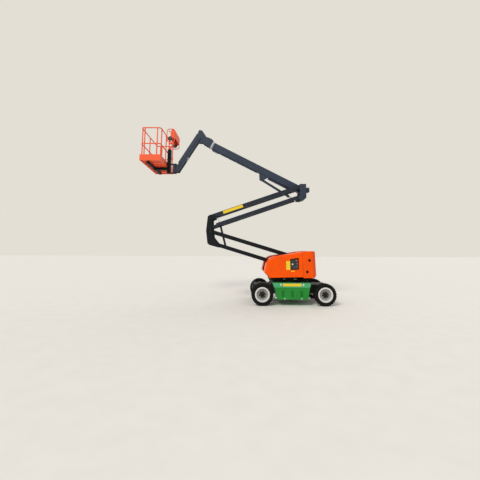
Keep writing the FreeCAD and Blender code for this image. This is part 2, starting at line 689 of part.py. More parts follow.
lower_arm = fuse(
    *twin_tubes("0", "lower_length", "lower_height", "arm_inner_y", "arm_thick", "arm_wall", "90"),
    boss(46, 0, "arm_inner_y"),
    boss(46, "lower_length", "arm_inner_y"),
    boss(36, 600, "arm_inner_y"),
    boss(36, 1750, "arm_inner_y"),
    cross_bar("pin_radius", "riser_cylinder_along", -20, "-arm_inner_y - 4", "arm_inner_y + 4"),
)
place(cut(lower_arm, *bores("bore", (0, 0), ("lower_length", 0))), "lower_riser_arm", LOWER_PIN,
      value("lower_angle"))
lower_link = fuse(
    *twin_tubes("0", "lower_length", "link_height", "arm_inner_y", "arm_thick", "arm_wall", "70", under="link_extra"),
    boss(40, "lower_length", "arm_inner_y"),
    boss(30, 1500, "arm_inner_y"),
    boss(30, 2300, "arm_inner_y"),
)
place(cut(lower_link, *bores("bore", (0, 0), ("lower_length", 0))), "lower_riser_link", LINK_REAR,
      value("lower_angle"))

# Knuckle: C-shaped outer plates, a web along their front edge, and two inner plates that leave
# the middle free for the boom when it comes down
knuckle_side = (
    (72, "knuckle_rise + 50", 60),
    (125, "knuckle_rise / 2 - 40", 150),
    (70, -35, 50),
    (0, -95, 40),
    (-330, -185, 20),
    (-372, -100, 30),
    (-142, 180, 60),
    (-112, 420),
    (-92, "knuckle_rise - 90", 50),
    (-210, "knuckle_rise - 48", 12),
    (-190, "knuckle_rise + 62", 12),
)
knuckle_web = (
    (84, 75),
    (122, "knuckle_rise / 2 - 40"),
    (94, "knuckle_rise - 220"),
    (80, "knuckle_rise - 220"),
    (106, "knuckle_rise / 2 - 40"),
    (68, 75),
)
inner_side = (
    (50, "knuckle_rise + 45", 40),
    (50, "knuckle_rise - 222"),
    (-48, "knuckle_rise - 222"),
    (-48, "knuckle_rise + 45", 40),
)
riser_knuckle = [
    profile(knuckle_side, "plate_y", "plate_outer_y"),
    profile(knuckle_side, "-plate_outer_y", "-plate_y"),
    profile(knuckle_web, "-plate_y", "plate_y"),
    profile(inner_side, "inner_plate_y", "inner_plate_y + plate_thick"),
    profile(inner_side, "-inner_plate_y - plate_thick", "-inner_plate_y"),
    slab(-48, 90, "-plate_y", "plate_y", "knuckle_rise - 236", "knuckle_rise - 221"),
]
for pin_x, pin_z in ((0, 0), ("-link_back", "lower_link_rise"), ("-link_back", "knuckle_rise - upper_link_drop")):
    riser_knuckle.append(cross_bar("pin_radius", pin_x, pin_z, "-plate_outer_y - 12", "plate_outer_y + 12"))
for low, high in (("inner_plate_y + 1", "plate_outer_y + 12"), ("-plate_outer_y - 12", "-inner_plate_y - 1")):
    riser_knuckle.append(cross_bar("pin_radius", 0, "knuckle_rise", low, high))
place(fuse(*riser_knuckle), "riser_knuckle", KNUCKLE)

# Upper riser arm and link: they run back and up from the knuckle to the upright
cylinder_lug = (
    (-390, -40),
    (-324, -108, 40),
    (-244, -108, 40),
    (-190, -40),
)
upper_arm = fuse(
    *twin_tubes("-upper_length", "0", "upper_height", "arm_inner_y", "arm_thick", "arm_wall", "90"),
    profile(cylinder_lug, "arm_inner_y - 5", "arm_inner_y + 12"),
)
place(cut(upper_arm, *bores("bore", ("-upper_length", 0), (0, 0))), "upper_riser_arm", KNUCKLE_TOP, -value("upper_angle"))
upper_link = fuse(
    *twin_tubes("-upper_length", "0", "link_height", "arm_inner_y", "arm_thick", "arm_wall", "70",
                over="link_extra", clear="160"),
    boss(40, 0, "arm_inner_y"),
    boss(30, -700, "arm_inner_y"),
    boss(30, -1500, "arm_inner_y"),
)
place(cut(upper_link, *bores("bore", ("-upper_length", 0), (0, 0))), "upper_riser_link", UPPER_LINK_FRONT,
      -value("upper_angle"))

# Upright: outer and inner plates on a cross box, with the boom's pivot between the inner plates
upright_side = (
    (108, 60, 20),
    (-122, 60, 20),
    (-122, "-foot_drop + 30", 90),
    (150, "-foot_drop + 30", 20),
    (150, "-foot_drop + 120", 15),
    (108, "-foot_drop + 140", 10),
)
upright = []
for low, high in (("plate_y", "plate_outer_y"), ("-plate_outer_y", "-plate_y"),
                  ("inner_plate_y", "inner_plate_y + plate_thick"), ("-inner_plate_y - plate_thick", "-inner_plate_y")):
    upright.append(profile(upright_side, low, high))
upright.append(slab(-30, 64, "-inner_plate_y", "inner_plate_y", "-foot_drop + 31", "-foot_drop + 72"))
for low, high in (("inner_plate_y", "plate_y"), ("-plate_y", "-inner_plate_y")):
    upright.append(slab(-122, -100, low, high, "-foot_drop + 122", 0))
    upright.append(slab(-95, -50, low, high, "-foot_drop + 52", "-foot_drop + 72"))
for pin_x, pin_z in ((0, 0), ("-link_back", "-upper_link_drop")):
    for low, high in (("inner_plate_y + 1", "plate_outer_y + 12"), ("-plate_outer_y - 12", "-inner_plate_y - 1")):
        upright.append(cross_bar("pin_radius", pin_x, pin_z, low, high))
upright.append(cross_bar("pin_radius", "-boom_pivot_back", "-boom_pivot_drop", "-inner_plate_y - 6", "inner_plate_y + 6"))
foot_side = (
    (50, "-foot_drop - 20"),
    ("foot_x + 40", "-foot_drop - 35", 25),
    ("foot_x + 40", "-foot_drop + 35", 25),
    (50, "-foot_drop + 70"),
)
for low, high in ((50, 68), (-68, -50)):
    upright.append(profile(foot_side, low, high))
place(fuse(*upright), "boom_upright", UPRIGHT)


def cylinder(name, start, end, barrel_length, rod_length, barrel_radius, rod_radius, half_eye, pin, across):
    """A hydraulic cylinder between two pins: a hollow barrel with its eye, and a rod with the
    far pin in its eye. Its middle plane lies at y = across."""
    span = math.dist(start, end)
    lean = math.degrees(math.atan2(end[2] - start[2], end[0] - start[0]))
    low = f"{across} - {half_eye}"
    high = f"{across} + {half_eye}"
    barrel = cut(
        fuse(
            bar("x", barrel_radius, 20, across, 0, f"{barrel_length} - 20"),
            bar("x", f"{barrel_radius} + 5", f"{barrel_length} - 60", across, 0, 60),
            cross_bar(f"{pin} + 18", 0, 0, low, high),
        ),
        bar("x", f"{barrel_radius} - 7", f"{pin} + 30", across, 0, f"{barrel_length} - {pin} - 60"),
        bar("x", f"{rod_radius} + pin_clear", f"{pin} + 30", across, 0, barrel_length),
        cross_bar(f"{pin} + pin_clear", 0, 0, -400, 400),
    )
    place(barrel, name + "_barrel", start, lean)
    rod = fuse(
        bar("x", rod_radius, span - value(rod_length), across, 0, rod_length),
        bar("x", f"{barrel_radius} - 8", span - value(rod_length), across, 0, 30),
        cross_bar(f"{pin} + 14", span, 0, low, high),
        cross_bar(pin, span, 0, f"{low} - pin_proud", f"{high} + pin_proud"),
    )
    place(rod, name + "_rod", start, lean)
    return lean


RISER_START = ahead(LOWER_PIN, value("riser_cylinder_along"), value("lower_angle"), -20)
RISER_END = ahead(KNUCKLE_TOP, -284, -value("upper_angle"), -50)
cylinder("riser_cylinder", RISER_START, RISER_END, "870", "910", "36", "26", "32.4", "pin_radius", "arm_inner_y - 47")

# Main boom: a box tube open in front, stepped inside to the sliding pads' size, with the lugs of
# its lift cylinder and a tray for the hoses underneath
lift_lug = (
    ("lift_along - 190", "-boom_height / 2 + 4"),
    ("lift_along - 45", "-lift_drop - 40", 35),
    ("lift_along + 45", "-lift_drop - 40", 35),
    ("lift_along + 170", "-boom_height / 2 + 4"),
)
tail_side = (
    (0, "boom_height / 2 - 5"),
    (-5, 148, 20),
    (-163, 231, 20),
    (-234, 94, 20),
    (-211, 51, 10),
    (-140, 20),
)
tube = cut(
    fuse(
        slab("-boom_tail", "boom_length", "-boom_width / 2", "boom_width / 2", "-boom_height / 2", "boom_height / 2"),
        slab("boom_length - 70", "boom_length", "-boom_width / 2 - 6", "boom_width / 2 + 6",
             "-boom_height / 2 - 6", "boom_height / 2 + 6"),
        cross_bar(60, 0, 0, "-boom_width / 2 - 9", "boom_width / 2 + 9"),
    ),
    slab("-boom_tail + 10", "boom_length - 160", "-boom_width / 2 + boom_wall", "boom_width / 2 - boom_wall",
         "-boom_height / 2 + boom_wall", "boom_height / 2 - boom_wall"),
    slab("boom_length - 161", "boom_length + 1", "-fly_width / 2 - pad_gap", "fly_width / 2 + pad_gap",
         "-fly_height / 2 - pad_gap", "fly_height / 2 + pad_gap"),
)
main_boom = cut(
    fuse(
        tube,
        profile(lift_lug, 52, 68),
        profile(lift_lug, -68, -52),
        cross_bar("pin_radius", "lift_along", "-lift_drop", -76, 76),
        profile(tail_side, -70, 70),
        slab(250, "lift_along - 210", -38, 38, "-boom_height / 2 - 60", "-boom_height / 2 + 2"),
        slab("lift_along + 260", "boom_length - 120", -38, 38, "-boom_height / 2 - 28", "-boom_height / 2 + 2"),
        slab("boom_length - 280", "boom_length - 30", -60, 60, "-boom_height / 2 - 42", "-boom_height / 2 + 2"),
    ),
    *bores("bore", (0, 0)),
)
place(main_boom, "main_boom", PIVOT, value("boom_angle"))
LIFT_START = ahead(PIVOT, value("lift_along"), value("boom_angle"), -value("lift_drop"))
LIFT_END = ahead(UPRIGHT, value("foot_x"), 0, -value("foot_drop"))
cylinder("lift_cylinder", LIFT_START, LIFT_END, "1210", "720", "44", "34", "40.4", "pin_radius", "0")

# Fly boom: a box tube inside the main boom, with sliding pads round its rear end
FLY_END = "(boom_length + fly_out)"
fly = cut(
    fuse(
        slab("fly_rear", FLY_END, "-fly_width / 2", "fly_width / 2", "-fly_height / 2", "fly_height / 2"),
        slab("fly_rear", "fly_rear + 90", "-boom_width / 2 + boom_wall + pad_gap",
             "boom_width / 2 - boom_wall - pad_gap", "-boom_height / 2 + boom_wall + pad_gap",
             "boom_height / 2 - boom_wall - pad_gap"),
    ),
    slab("fly_rear - 1", f"{FLY_END} - 20", "-fly_width / 2 + fly_wall", "fly_width / 2 - fly_wall",
         "-fly_height / 2 + fly_wall", "fly_height / 2 - fly_wall"),
)
place(fly, "fly_boom", PIVOT, value("boom_angle"))

# Fly head: two plates on a collar, with the pin of the jib's mount between them
head_side = (
    (f"{FLY_END} + 2", -118, 15),
    (f"{FLY_END} + head_pin_along", "head_pin_rise - 118", 60),
    (f"{FLY_END} + head_pin_along + 96", "head_pin_rise - 60", 60),
    (f"{FLY_END} + head_pin_along + 96", "head_pin_rise + 70", 60),
    (f"{FLY_END} + head_pin_along - 10", "head_pin_rise + 176", 40),
    (f"{FLY_END} + 130", 204, 40),
    (f"{FLY_END} + 2", 140, 20),
)
head = [slab(FLY_END, f"{FLY_END} + 34", -92, 92, -118, 142)]
for low, high in ((76, 92), (-92, -76)):
    head.append(profile(head_side, low, high))
head.append(slab(f"{FLY_END} + 20", f"{FLY_END} + 110", -78, 78, -116, -104))
mount_pin = (f"{FLY_END} + head_pin_along", "head_pin_rise")
place(cut(fuse(*head), *bores("bore", mount_pin)), "fly_head", PIVOT, value("boom_angle"))

# Jib mount: it stays upright and carries the jib arm, the jib link and the jib cylinder
MOUNT = ahead(PIVOT, value(mount_pin[0]), value("boom_angle"), value("head_pin_rise"))
mount_side = (
    (-52, -52, 30),
    (-62, 150, 40),
    ("jib_pin_x - 84", "jib_pin_z + 92", 30),
    ("jib_pin_x + 24", "jib_pin_z + 122", 40),
    ("jib_pin_x + 78", "jib_pin_z + 20", 30),
    ("jib_pin_x + 52", "jib_pin_z - jib_link_drop", 30),
    ("jib_pin_x + 66", "jib_pin_z - 340", 20),
    ("jib_pin_x + 30", "jib_pin_z - 388", 30),
    (70, -72, 40),
)
mount = [
    profile(mount_side, 50, 66),
    profile(mount_side, -66, -50),
    slab(-50, -38, -52, 52, 40, 150),
    cross_bar("pin_radius", 0, 0, -98, 98),
    cross_bar("jib_pin_radius", "jib_pin_x", "jib_pin_z", -70, 70),
    cross_bar("jib_pin_radius", "jib_pin_x", "jib_pin_z - jib_link_drop", -104, 104),
    cross_bar("jib_pin_radius", "jib_pin_x + 20", "jib_pin_z - 330", -70, 70),
]
place(fuse(*mount), "jib_mount", MOUNT)

# Jib: a box arm, twin links beside it and a cylinder below
JIB_PIN = ahead(MOUNT, value("jib_pin_x"), 0, value("jib_pin_z"))
JIB_LINK_PIN = ahead(JIB_PIN, 0, 0, -value("jib_link_drop"))
duct_side = (
    (40, "jib_height / 2 - 4"),
    (76, "jib_height / 2 + jib_duct", 15),
    ("jib_length - 96", "jib_height / 2 + jib_duct", 15),
    ("jib_length - 60", "jib_height / 2 - 4"),
)
jib_arm = cut(
    fuse(
        slab(0, "jib_length", "-jib_width / 2", "jib_width / 2", "-jib_height / 2", "jib_height / 2"),
        cross_bar("jib_height / 2", 0, 0, "-jib_width / 2", "jib_width / 2"),
        cross_bar("jib_height / 2", "jib_length", 0, "-jib_width / 2", "jib_width / 2"),
        profile(duct_side, "-jib_width / 2 + 4", "jib_width / 2 - 4"),
        profile(((1040, -45), (1116, -162, 25), (1184, -162, 25), (1240, -45)), 30, 42),
        profile(((1040, -45), (1116, -162, 25), (1184, -162, 25), (1240, -45)), -42, -30),
    ),
    slab(60, "jib_length - 60", "-jib_width / 2 + 6", "jib_width / 2 - 6", "-jib_height / 2 + 6", "jib_height / 2 - 6"),
    *bores("jib_bore", (0, 0), ("jib_length", 0)),
)
place(jib_arm, "jib_arm", JIB_PIN, -value("jib_angle"))
jib_link = group(*[
    cut(tube, *bores("jib_bore", (0, 0), ("jib_length", 0)))
    for tube in twin_tubes("0", "jib_length", "64", "71", "25", "5", "45")
])
place(jib_link, "jib_link", JIB_LINK_PIN, -value("jib_angle"))
JIB_START = ahead(JIB_PIN, 20, 0, -330)
JIB_REACH = ahead(JIB_PIN, 1150, -value("jib_angle"), -130)
cylinder("jib_cylinder", JIB_START, JIB_REACH, "742", "775", "30", "20", "20.4", "jib_pin_radius", "0")

# Jib end: a bracket with the rotary actuator that turns the platform
JIB_END = ahead(JIB_PIN, value("jib_length"), -value("jib_angle"))
end_side = (
    (-48, 36, 25),
    (96, 36, 10),
    (110, "-jib_link_drop - 46", 20),
    (-44, "-jib_link_drop - 46", 30),
)
jib_end = [
    profile(end_side, 50, 66),
    profile(end_side, -66, -50),
    bar("z", "turn_radius", "turn_ahead", 0, "-jib_link_drop - 50", "jib_link_drop + 92"),
    cross_bar("jib_pin_radius", 0, 0, -70, 70),
    cross_bar("jib_pin_radius", 0, "-jib_link_drop", -104, 104),
]
place(fuse(*jib_end), "jib_end", JIB_END)

# Platform: its frame turns on the actuator's flanges; floor, toe boards, rails, gate and console
TURN = ahead(JIB_END, value("turn_ahead"), 0)
frame = fuse(
    bar("z", "turn_radius + 6", 0, 0, "-jib_link_drop - 74", 23.7),
    bar("z", "turn_radius + 6", 0, 0, 42.3, 22),
    slab(0, 170, -55, 55, "-jib_link_drop - 74", "-jib_link_drop - 51"),
    slab(0, 170, -55, 55, 42.3, 64),
    slab(150, "platform_gap - 5", -60, 60, "-jib_link_drop - 74", 620),
    slab("platform_gap - 20", "platform_gap + 500", -50, 50, "floor_rise - 130", "floor_rise - 34"),
    slab("platform_gap + 430", "platform_gap + 530", "-platform_half + 160", "platform_half - 160",
         "floor_rise - 94", "floor_rise - 34"),
)
place(frame, "platform_support", TURN)
INSIDE = ("platform_gap + toe_sheet", "platform_gap + platform_depth - toe_sheet",
          "-platform_half + toe_sheet", "platform_half - toe_sheet")
floor = cut(
    slab("platform_gap", "platform_gap + platform_depth", "-platform_half", "platform_half",
         "floor_rise - 34", "floor_rise + toe_rise"),
    slab(*INSIDE, "floor_rise", "floor_rise + toe_rise + 1"),
    slab("platform_gap + 30", "platform_gap + platform_depth - 30", "-platform_half + 30", "platform_half - 30",
         "floor_rise - 35", "floor_rise - 4"),
    slab("gate_low", "gate_high", "-platform_half - 1", "-platform_half + 5", "floor_rise + 4", "floor_rise + toe_rise + 1"),
)
ribs = [
    slab("platform_gap + 20", "platform_gap + platform_depth - 20", f"{step} - 20", f"{step} + 20",
         "floor_rise - 34", "floor_rise - 3")
    for step in (-600, -300, 0, 300, 600)
]
tread = slab("platform_gap + 50", "platform_gap + platform_depth - 50", "-platform_half + 50", "platform_half - 50",
             "floor_rise - 2", "floor_rise + 3")
place(fuse(floor, tread, *ribs), "platform_floor", TURN)


def rail(axis, x, y, z, length):
    """A straight guard rail tube."""
    return bar(axis, "tube_radius", x, y, z, length)


def corner(x, y, z, start):
    """A quarter bend of guard rail tube about x, y."""
    item = doc.addObject("Part::Torus", "corner")
    item.Placement = FreeCAD.Placement(FreeCAD.Vector(), FreeCAD.Rotation(AXES["z"], start))
    item.Angle3 = 90
    item.setExpression("Radius1", formula("corner_radius"))
    item.setExpression("Radius2", formula("tube_radius"))
    set_base(item, x, y, z)
    return item


RAIL_IN = "(toe_sheet + tube_radius + 0.2)"
SIDE_Y = f"(platform_half - {RAIL_IN})"
BEND_Y = f"(platform_half - {RAIL_IN} - corner_radius)"
FRONT_X = f"(platform_gap + platform_depth - {RAIL_IN})"
BEND_FRONT = f"(platform_gap + platform_depth - {RAIL_IN} - corner_radius)"
REAR_X = f"(platform_gap + {RAIL_IN})"
BEND_REAR = f"(platform_gap + {RAIL_IN} + corner_radius)"
HEIGHTS = ("floor_rise + rail_rise", "floor_rise + mid_rise")
POST = "rail_rise"
front_rails = []
rear_rails = []
left_rails = []
right_rails = []
for height in HEIGHTS:
    front_rails += [
        rail("y", FRONT_X, f"-{BEND_Y}", height, f"2 * {BEND_Y}"),
        corner(BEND_FRONT, BEND_Y, height, 0),
        corner(BEND_FRONT, f"-{BEND_Y}", height, 270),
    ]
    rear_rails += [
        rail("y", f"-{REAR_X}", f"-{BEND_Y}", height, f"2 * {BEND_Y}"),
        corner(f"-{BEND_REAR}", BEND_Y, height, 0),
        corner(f"-{BEND_REAR}", f"-{BEND_Y}", height, 270),
    ]
    left_rails.append(rail("x", BEND_REAR, SIDE_Y, height, f"{BEND_FRONT} - {BEND_REAR}"))
    right_rails.append(rail("x", BEND_REAR, f"-{SIDE_Y}", height, f"gate_low - {BEND_REAR}"))
    right_rails.append(rail("x", "gate_high + tube_radius", f"-{SIDE_Y}", height,
                            f"{BEND_FRONT} - gate_high - tube_radius"))
for post_y in (f"-{BEND_Y} + 30", 0, f"{BEND_Y} - 30"):
    front_rails.append(rail("z", FRONT_X, post_y, "floor_rise", POST))
for post_y in (f"-{BEND_Y} + 30", -200, 200, f"{BEND_Y} - 30"):
    rear_rails.append(rail("z", f"-{REAR_X}", post_y, "floor_rise", POST))
for post_x in (f"{BEND_FRONT} - 30", "gate_low - 19"):
    left_rails.append(rail("z", post_x, SIDE_Y, "floor_rise", POST))
for post_x in ("gate_high + 19", "gate_low - 19"):
    right_rails.append(rail("z", post_x, f"-{SIDE_Y}", "floor_rise", POST))
place(fuse(*front_rails), "front_rails", TURN)
place(fuse(*rear_rails), "rear_rails", TURN, turn=180)
place(fuse(*left_rails), "left_rails", TURN)
place(group(fuse(*right_rails)), "right_rails", TURN)
gate = fuse(
    rail("z", "-tube_radius - hinge_gap", 0, "toe_rise + 20", "rail_rise - toe_rise - 20"),
    rail("z", "-gate_width + 2 * hinge_gap + 12", 0, "toe_rise + 20", "rail_rise - toe_rise - 20"),
    rail("x", "-gate_width + 2 * hinge_gap + 12", 0, "rail_rise", "gate_width - 3 * hinge_gap - 31"),
    rail("x", "-gate_width + 2 * hinge_gap + 12", 0, "mid_rise", "gate_width - 3 * hinge_gap - 31"),
    slab("-gate_width + 20", "-hinge_gap - 4", -4, 4, 10, "toe_rise + 40"),
    *[bar("z", "hinge_gap - 0.6", 0, 0, rise, 60) for rise in (300, 800)],
    *[slab("-hinge_gap - 6", 0, -5, 5, rise, f"{rise} + 60") for rise in (300, 800)],
)
place(gate, "platform_gate", ahead(TURN, value("gate_high - hinge_gap"), 0, value("floor_rise")))
parts[-1].Placement.Base.y = -value(SIDE_Y)
console_side = (
    (104, 870, 20),
    (112, 1160, 20),
    (60, 1290, 40),
    (-20, 1290, 30),
    (-64, 1180, 30),
    (-50, 960, 30),
)
hoop_outside = ((250, 775, 90), (250, 1292, 110), (-50, 1292, 110), (-50, 775, 90))
hoop_inside = ((228, 797, 68), (228, 1270, 88), (-28, 1270, 88), (-28, 797, 68))
console = [
    cut(profile(console_side, -360, 360), slab(-36, 92, -352, 352, 860, 1150)),
    slab(100, f"{REAR_X} - tube_radius - 0.1", -220, -180, 920, 960),
    slab(100, f"{REAR_X} - tube_radius - 0.1", 180, 220, 920, 960),
]
for low, high in ((356, 378), (-378, -356)):
    console.append(cut(profile(hoop_outside, low, high), profile(hoop_inside, low, high)))
place(fuse(*console), "control_console", TURN)

doc.recompute()
for item in doc.Objects:
    if {"Invalid", "Error"} & set(item.State):
        raise RuntimeError(f"{item.Label} ({item.Name}) failed: {item.State}")
for part in parts:
    if part.Shape.isNull() or not part.Shape.isValid():
        raise RuntimeError(f"{part.Label} has no valid shape")
os.makedirs("parts", exist_ok=True)
for part in parts:
    part.Shape.exportStep(f"parts/{part.Label}.step")
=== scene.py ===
import math

import bmesh
import bpy
from mathutils import Matrix, Vector


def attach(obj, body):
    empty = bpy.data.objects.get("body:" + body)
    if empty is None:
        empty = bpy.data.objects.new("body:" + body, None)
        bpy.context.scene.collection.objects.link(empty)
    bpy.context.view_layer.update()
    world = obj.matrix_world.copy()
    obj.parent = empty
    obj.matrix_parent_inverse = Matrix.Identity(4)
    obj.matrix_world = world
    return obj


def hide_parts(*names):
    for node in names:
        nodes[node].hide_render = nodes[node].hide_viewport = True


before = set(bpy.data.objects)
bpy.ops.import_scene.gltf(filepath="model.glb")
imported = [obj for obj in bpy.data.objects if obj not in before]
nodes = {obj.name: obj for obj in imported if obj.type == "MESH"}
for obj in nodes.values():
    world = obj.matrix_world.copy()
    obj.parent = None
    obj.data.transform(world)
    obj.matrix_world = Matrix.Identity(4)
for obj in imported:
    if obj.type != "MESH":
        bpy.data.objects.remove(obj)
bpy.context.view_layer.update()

# The stage: a pale concrete yard that runs out to a plain horizon, under a soft even sky. One wide
# sun stands for the sun behind thin cloud, and a weaker one lifts the machine's far side.


def linear(hex_colour):
    """An sRGB hex colour as linear red, green, blue and alpha."""
    channels = [int(hex_colour[start:start + 2], 16) / 255 for start in (1, 3, 5)]
    return tuple(c / 12.92 if c <= 0.04045 else ((c + 0.055) / 1.055) ** 2.4
                 for c in channels) + (1.0,)


def add(tree, kind, inputs=None, **settings):
    """Adds a node. Inputs are given by name or number, as a value or as an output to link from."""
    item = tree.nodes.new(kind)
    for name, setting in settings.items():
        setattr(item, name, setting)
    for name, given in (inputs or {}).items():
        if isinstance(given, bpy.types.NodeSocket):
            tree.links.new(given, item.inputs[name])
        else:
            item.inputs[name].default_value = given
    return item


def cells(millimetres):
    """The Scale of a noise whose patches are so many millimetres across."""
    return 1000 / millimetres


def new_material(name):
    """An empty node material with its Principled shader and the object's own coordinates."""
    material = bpy.data.materials.new(name)
    material.use_nodes = True
    tree = material.node_tree
    shader = tree.nodes["Principled BSDF"]
    place = add(tree, "ShaderNodeTexCoord").outputs["Object"]
    return material, tree, shader, place


def roughen(tree, shader, place, patch, depth, strength):
    """Gives a surface a fine relief, with patches in millimetres and a depth in metres."""
    skin = add(tree, "ShaderNodeTexNoise", {"Vector": place, "Scale": cells(patch), "Detail": 2.0})
    bump = add(tree, "ShaderNodeBump", {"Height": skin.outputs["Fac"], "Distance": depth,
                                        "Strength": strength})
    tree.links.new(bump.outputs["Normal"], shader.inputs["Normal"])


def mottled(name, patch, detail, tones, roughness, metallic=0.0, mirror=0.5, relief=None):
    """A material that wanders between two tones in patches of so many millimetres. Its roughness
    is one number, or a pair that follows the same patches. A relief is what roughen takes."""
    material, tree, shader, place = new_material(name)
    noise = add(tree, "ShaderNodeTexNoise", {"Vector": place, "Scale": cells(patch),
                                             "Detail": detail})
    tone = add(tree, "ShaderNodeMix", {0: noise.outputs["Fac"], 6: linear(tones[0]),
                                       7: linear(tones[1])}, data_type="RGBA")
    tree.links.new(tone.outputs[2], shader.inputs["Base Color"])
    if isinstance(roughness, tuple):
        rub = add(tree, "ShaderNodeMapRange", {"Value": noise.outputs["Fac"],
                                               "To Min": roughness[0], "To Max": roughness[1]})
        tree.links.new(rub.outputs["Result"], shader.inputs["Roughness"])
    else:
        shader.inputs["Roughness"].default_value = roughness
    shader.inputs["Metallic"].default_value = metallic
    shader.inputs["Specular IOR Level"].default_value = mirror
    if relief is not None:
        roughen(tree, shader, place, *relief)
    return material


def new_object(name, content):
    """An object at the origin that holds a mesh, curve, lamp or camera."""
    item = bpy.data.objects.new(name, content)
    bpy.context.scene.collection.objects.link(item)
    return item


# Dry broom-finished concrete is matt and pale, with cloudy patches a third of a metre across.
yard_finish = mottled("broom_finished_concrete", 333, 6.0, ("#e2ddd2", "#ebe6db"), 0.9)
YARD_HALF = 60
mesh = bpy.data.meshes.new("yard")
corners = [(-YARD_HALF, -YARD_HALF, 0), (YARD_HALF, -YARD_HALF, 0),
           (YARD_HALF, YARD_HALF, 0), (-YARD_HALF, YARD_HALF, 0)]
mesh.from_pydata(corners, [], [(0, 1, 2, 3)])
yard = new_object("yard", mesh)
mesh.materials.append(yard_finish)

world = bpy.data.worlds.new("overcast_sky")
bpy.context.scene.world = world
world.use_nodes = True
tree = world.node_tree
tree.nodes.clear()
sky_light = add(tree, "ShaderNodeBackground", {"Color": linear("#f1f4fa"), "Strength": 0.6})
sky_seen = add(tree, "ShaderNodeBackground", {"Color": linear("#e3dfd5"), "Strength": 1.0})
rays = add(tree, "ShaderNodeLightPath")
mirrored = add(tree, "ShaderNodeMath", {0: rays.outputs["Is Camera Ray"],
                                        1: rays.outputs["Is Glossy Ray"]}, operation="MAXIMUM")
sky = add(tree, "ShaderNodeMixShader", {0: mirrored.outputs[0], 1: sky_light.outputs[0],
                                        2: sky_seen.outputs[0]})
add(tree, "ShaderNodeOutputWorld", {"Surface": sky.outputs[0]})

LAMPS = (
    # name, direction that it comes from, strength in watts per square metre, width in radians
    ("sun_through_cloud", (7.5, 12.0, 12.4), 1.9, 0.35),
    ("sky_behind", (-8.5, -8.0, 6.4), 0.5, 0.9),
)
for name, source, strength, width in LAMPS:
    lamp = bpy.data.lights.new(name, "SUN")
    lamp.energy = strength
    lamp.angle = width
    lamp_object = new_object(name, lamp)
    lamp_object.location = source
    lamp_object.rotation_euler = (-Vector(source)).to_track_quat("-Z", "Y").to_euler()

# The camera stands at the machine's left, at eye height about ten metres off, and looks a little
# up, as in the photograph: the platform reaches out to the left of the picture.
CAMERA_PLACE = Vector((-0.282, 10.026, 1.808))
CAMERA_PITCH = 0.1293
CAMERA_HEADING = 0.0105
CAMERA_ROLL = 0.0048
FOCAL_PIXELS = 276.42
FRAME_PIXELS = 480
SENSOR_MM = 36.0
camera = bpy.data.cameras.new("camera")
camera.sensor_width = SENSOR_MM
camera.lens = FOCAL_PIXELS / FRAME_PIXELS * SENSOR_MM
camera.shift_x = -0.001
camera.shift_y = -0.056
camera_object = new_object("camera", camera)
ahead = Vector((CAMERA_HEADING * math.cos(CAMERA_PITCH), -math.cos(CAMERA_PITCH),
                math.sin(CAMERA_PITCH)))
turn = ahead.to_track_quat("-Z", "Y").to_matrix().to_4x4() @ Matrix.Rotation(CAMERA_ROLL, 4, "Z")
camera_object.matrix_world = Matrix.Translation(CAMERA_PLACE) @ turn
bpy.context.scene.camera = camera_object
bpy.context.scene.view_settings.view_transform = "Standard"

# Chassis: welded steel plate with its axles and steering, sprayed in dark grey two-pack paint
# that dulls and takes dust near the ground.
DUST = "#6f695f"


def paint(name, colour, dusty, roughness, peel=0.0006, mirror=0.3):
    """Sprayed machine paint: clouding in patches of 417 mm, dust in the hollows of a noise of
    111 mm, and orange peel. The peel is drawn at 3.85 mm, coarser than the real 2 mm, to show."""
    material, tree, shader, place = new_material(name)
    cloud = add(tree, "ShaderNodeTexNoise", {"Vector": place, "Scale": cells(417), "Detail": 4.0})
    shade = add(tree, "ShaderNodeMapRange", {
        "Value": cloud.outputs["Fac"], "From Min": 0.3, "From Max": 0.7,
        "To Min": 0.9, "To Max": 1.07})
    base = add(tree, "ShaderNodeVectorMath", {0: linear(colour)[:3],
                                              "Scale": shade.outputs["Result"]}, operation="SCALE")
    speck = add(tree, "ShaderNodeTexNoise", {"Vector": place, "Scale": cells(111), "Detail": 10.0,
                                             "Roughness": 0.7})
    grime = add(tree, "ShaderNodeMapRange", {
        "Value": speck.outputs["Fac"], "From Min": 0.52, "From Max": 0.8,
        "To Min": 0.0, "To Max": dusty})
    mixed = add(tree, "ShaderNodeMix", {0: grime.outputs["Result"], 6: base.outputs["Vector"],
                                        7: linear(DUST)}, data_type="RGBA")
    tree.links.new(mixed.outputs[2], shader.inputs["Base Color"])
    gloss = add(tree, "ShaderNodeMapRange", {
        "Value": speck.outputs["Fac"], "From Min": 0.3, "From Max": 0.7,
        "To Min": roughness - 0.06, "To Max": roughness + 0.1})
    tree.links.new(gloss.outputs["Result"], shader.inputs["Roughness"])
    roughen(tree, shader, place, 3.85, peel, 0.5)
    shader.inputs["Specular IOR Level"].default_value = mirror
    return material


def dress(material, *names):
    """Gives a carried-over part its finish."""
    for name in names:
        slots = nodes[name].material_slots
        if not slots:
            nodes[name].data.materials.append(material)
        for slot in slots:
            slot.material = material


# Two-pack paint under road dust is nearly black and flat, with brownish film in patches.
chassis_paint = paint("dark_grey_chassis_paint_dusty", "#1c1e21", 0.35, 0.6)
dress(chassis_paint, "chassis_frame", "front_axle", "rear_axle", "steer_knuckle_left",
      "steer_knuckle_right", "tie_rod")

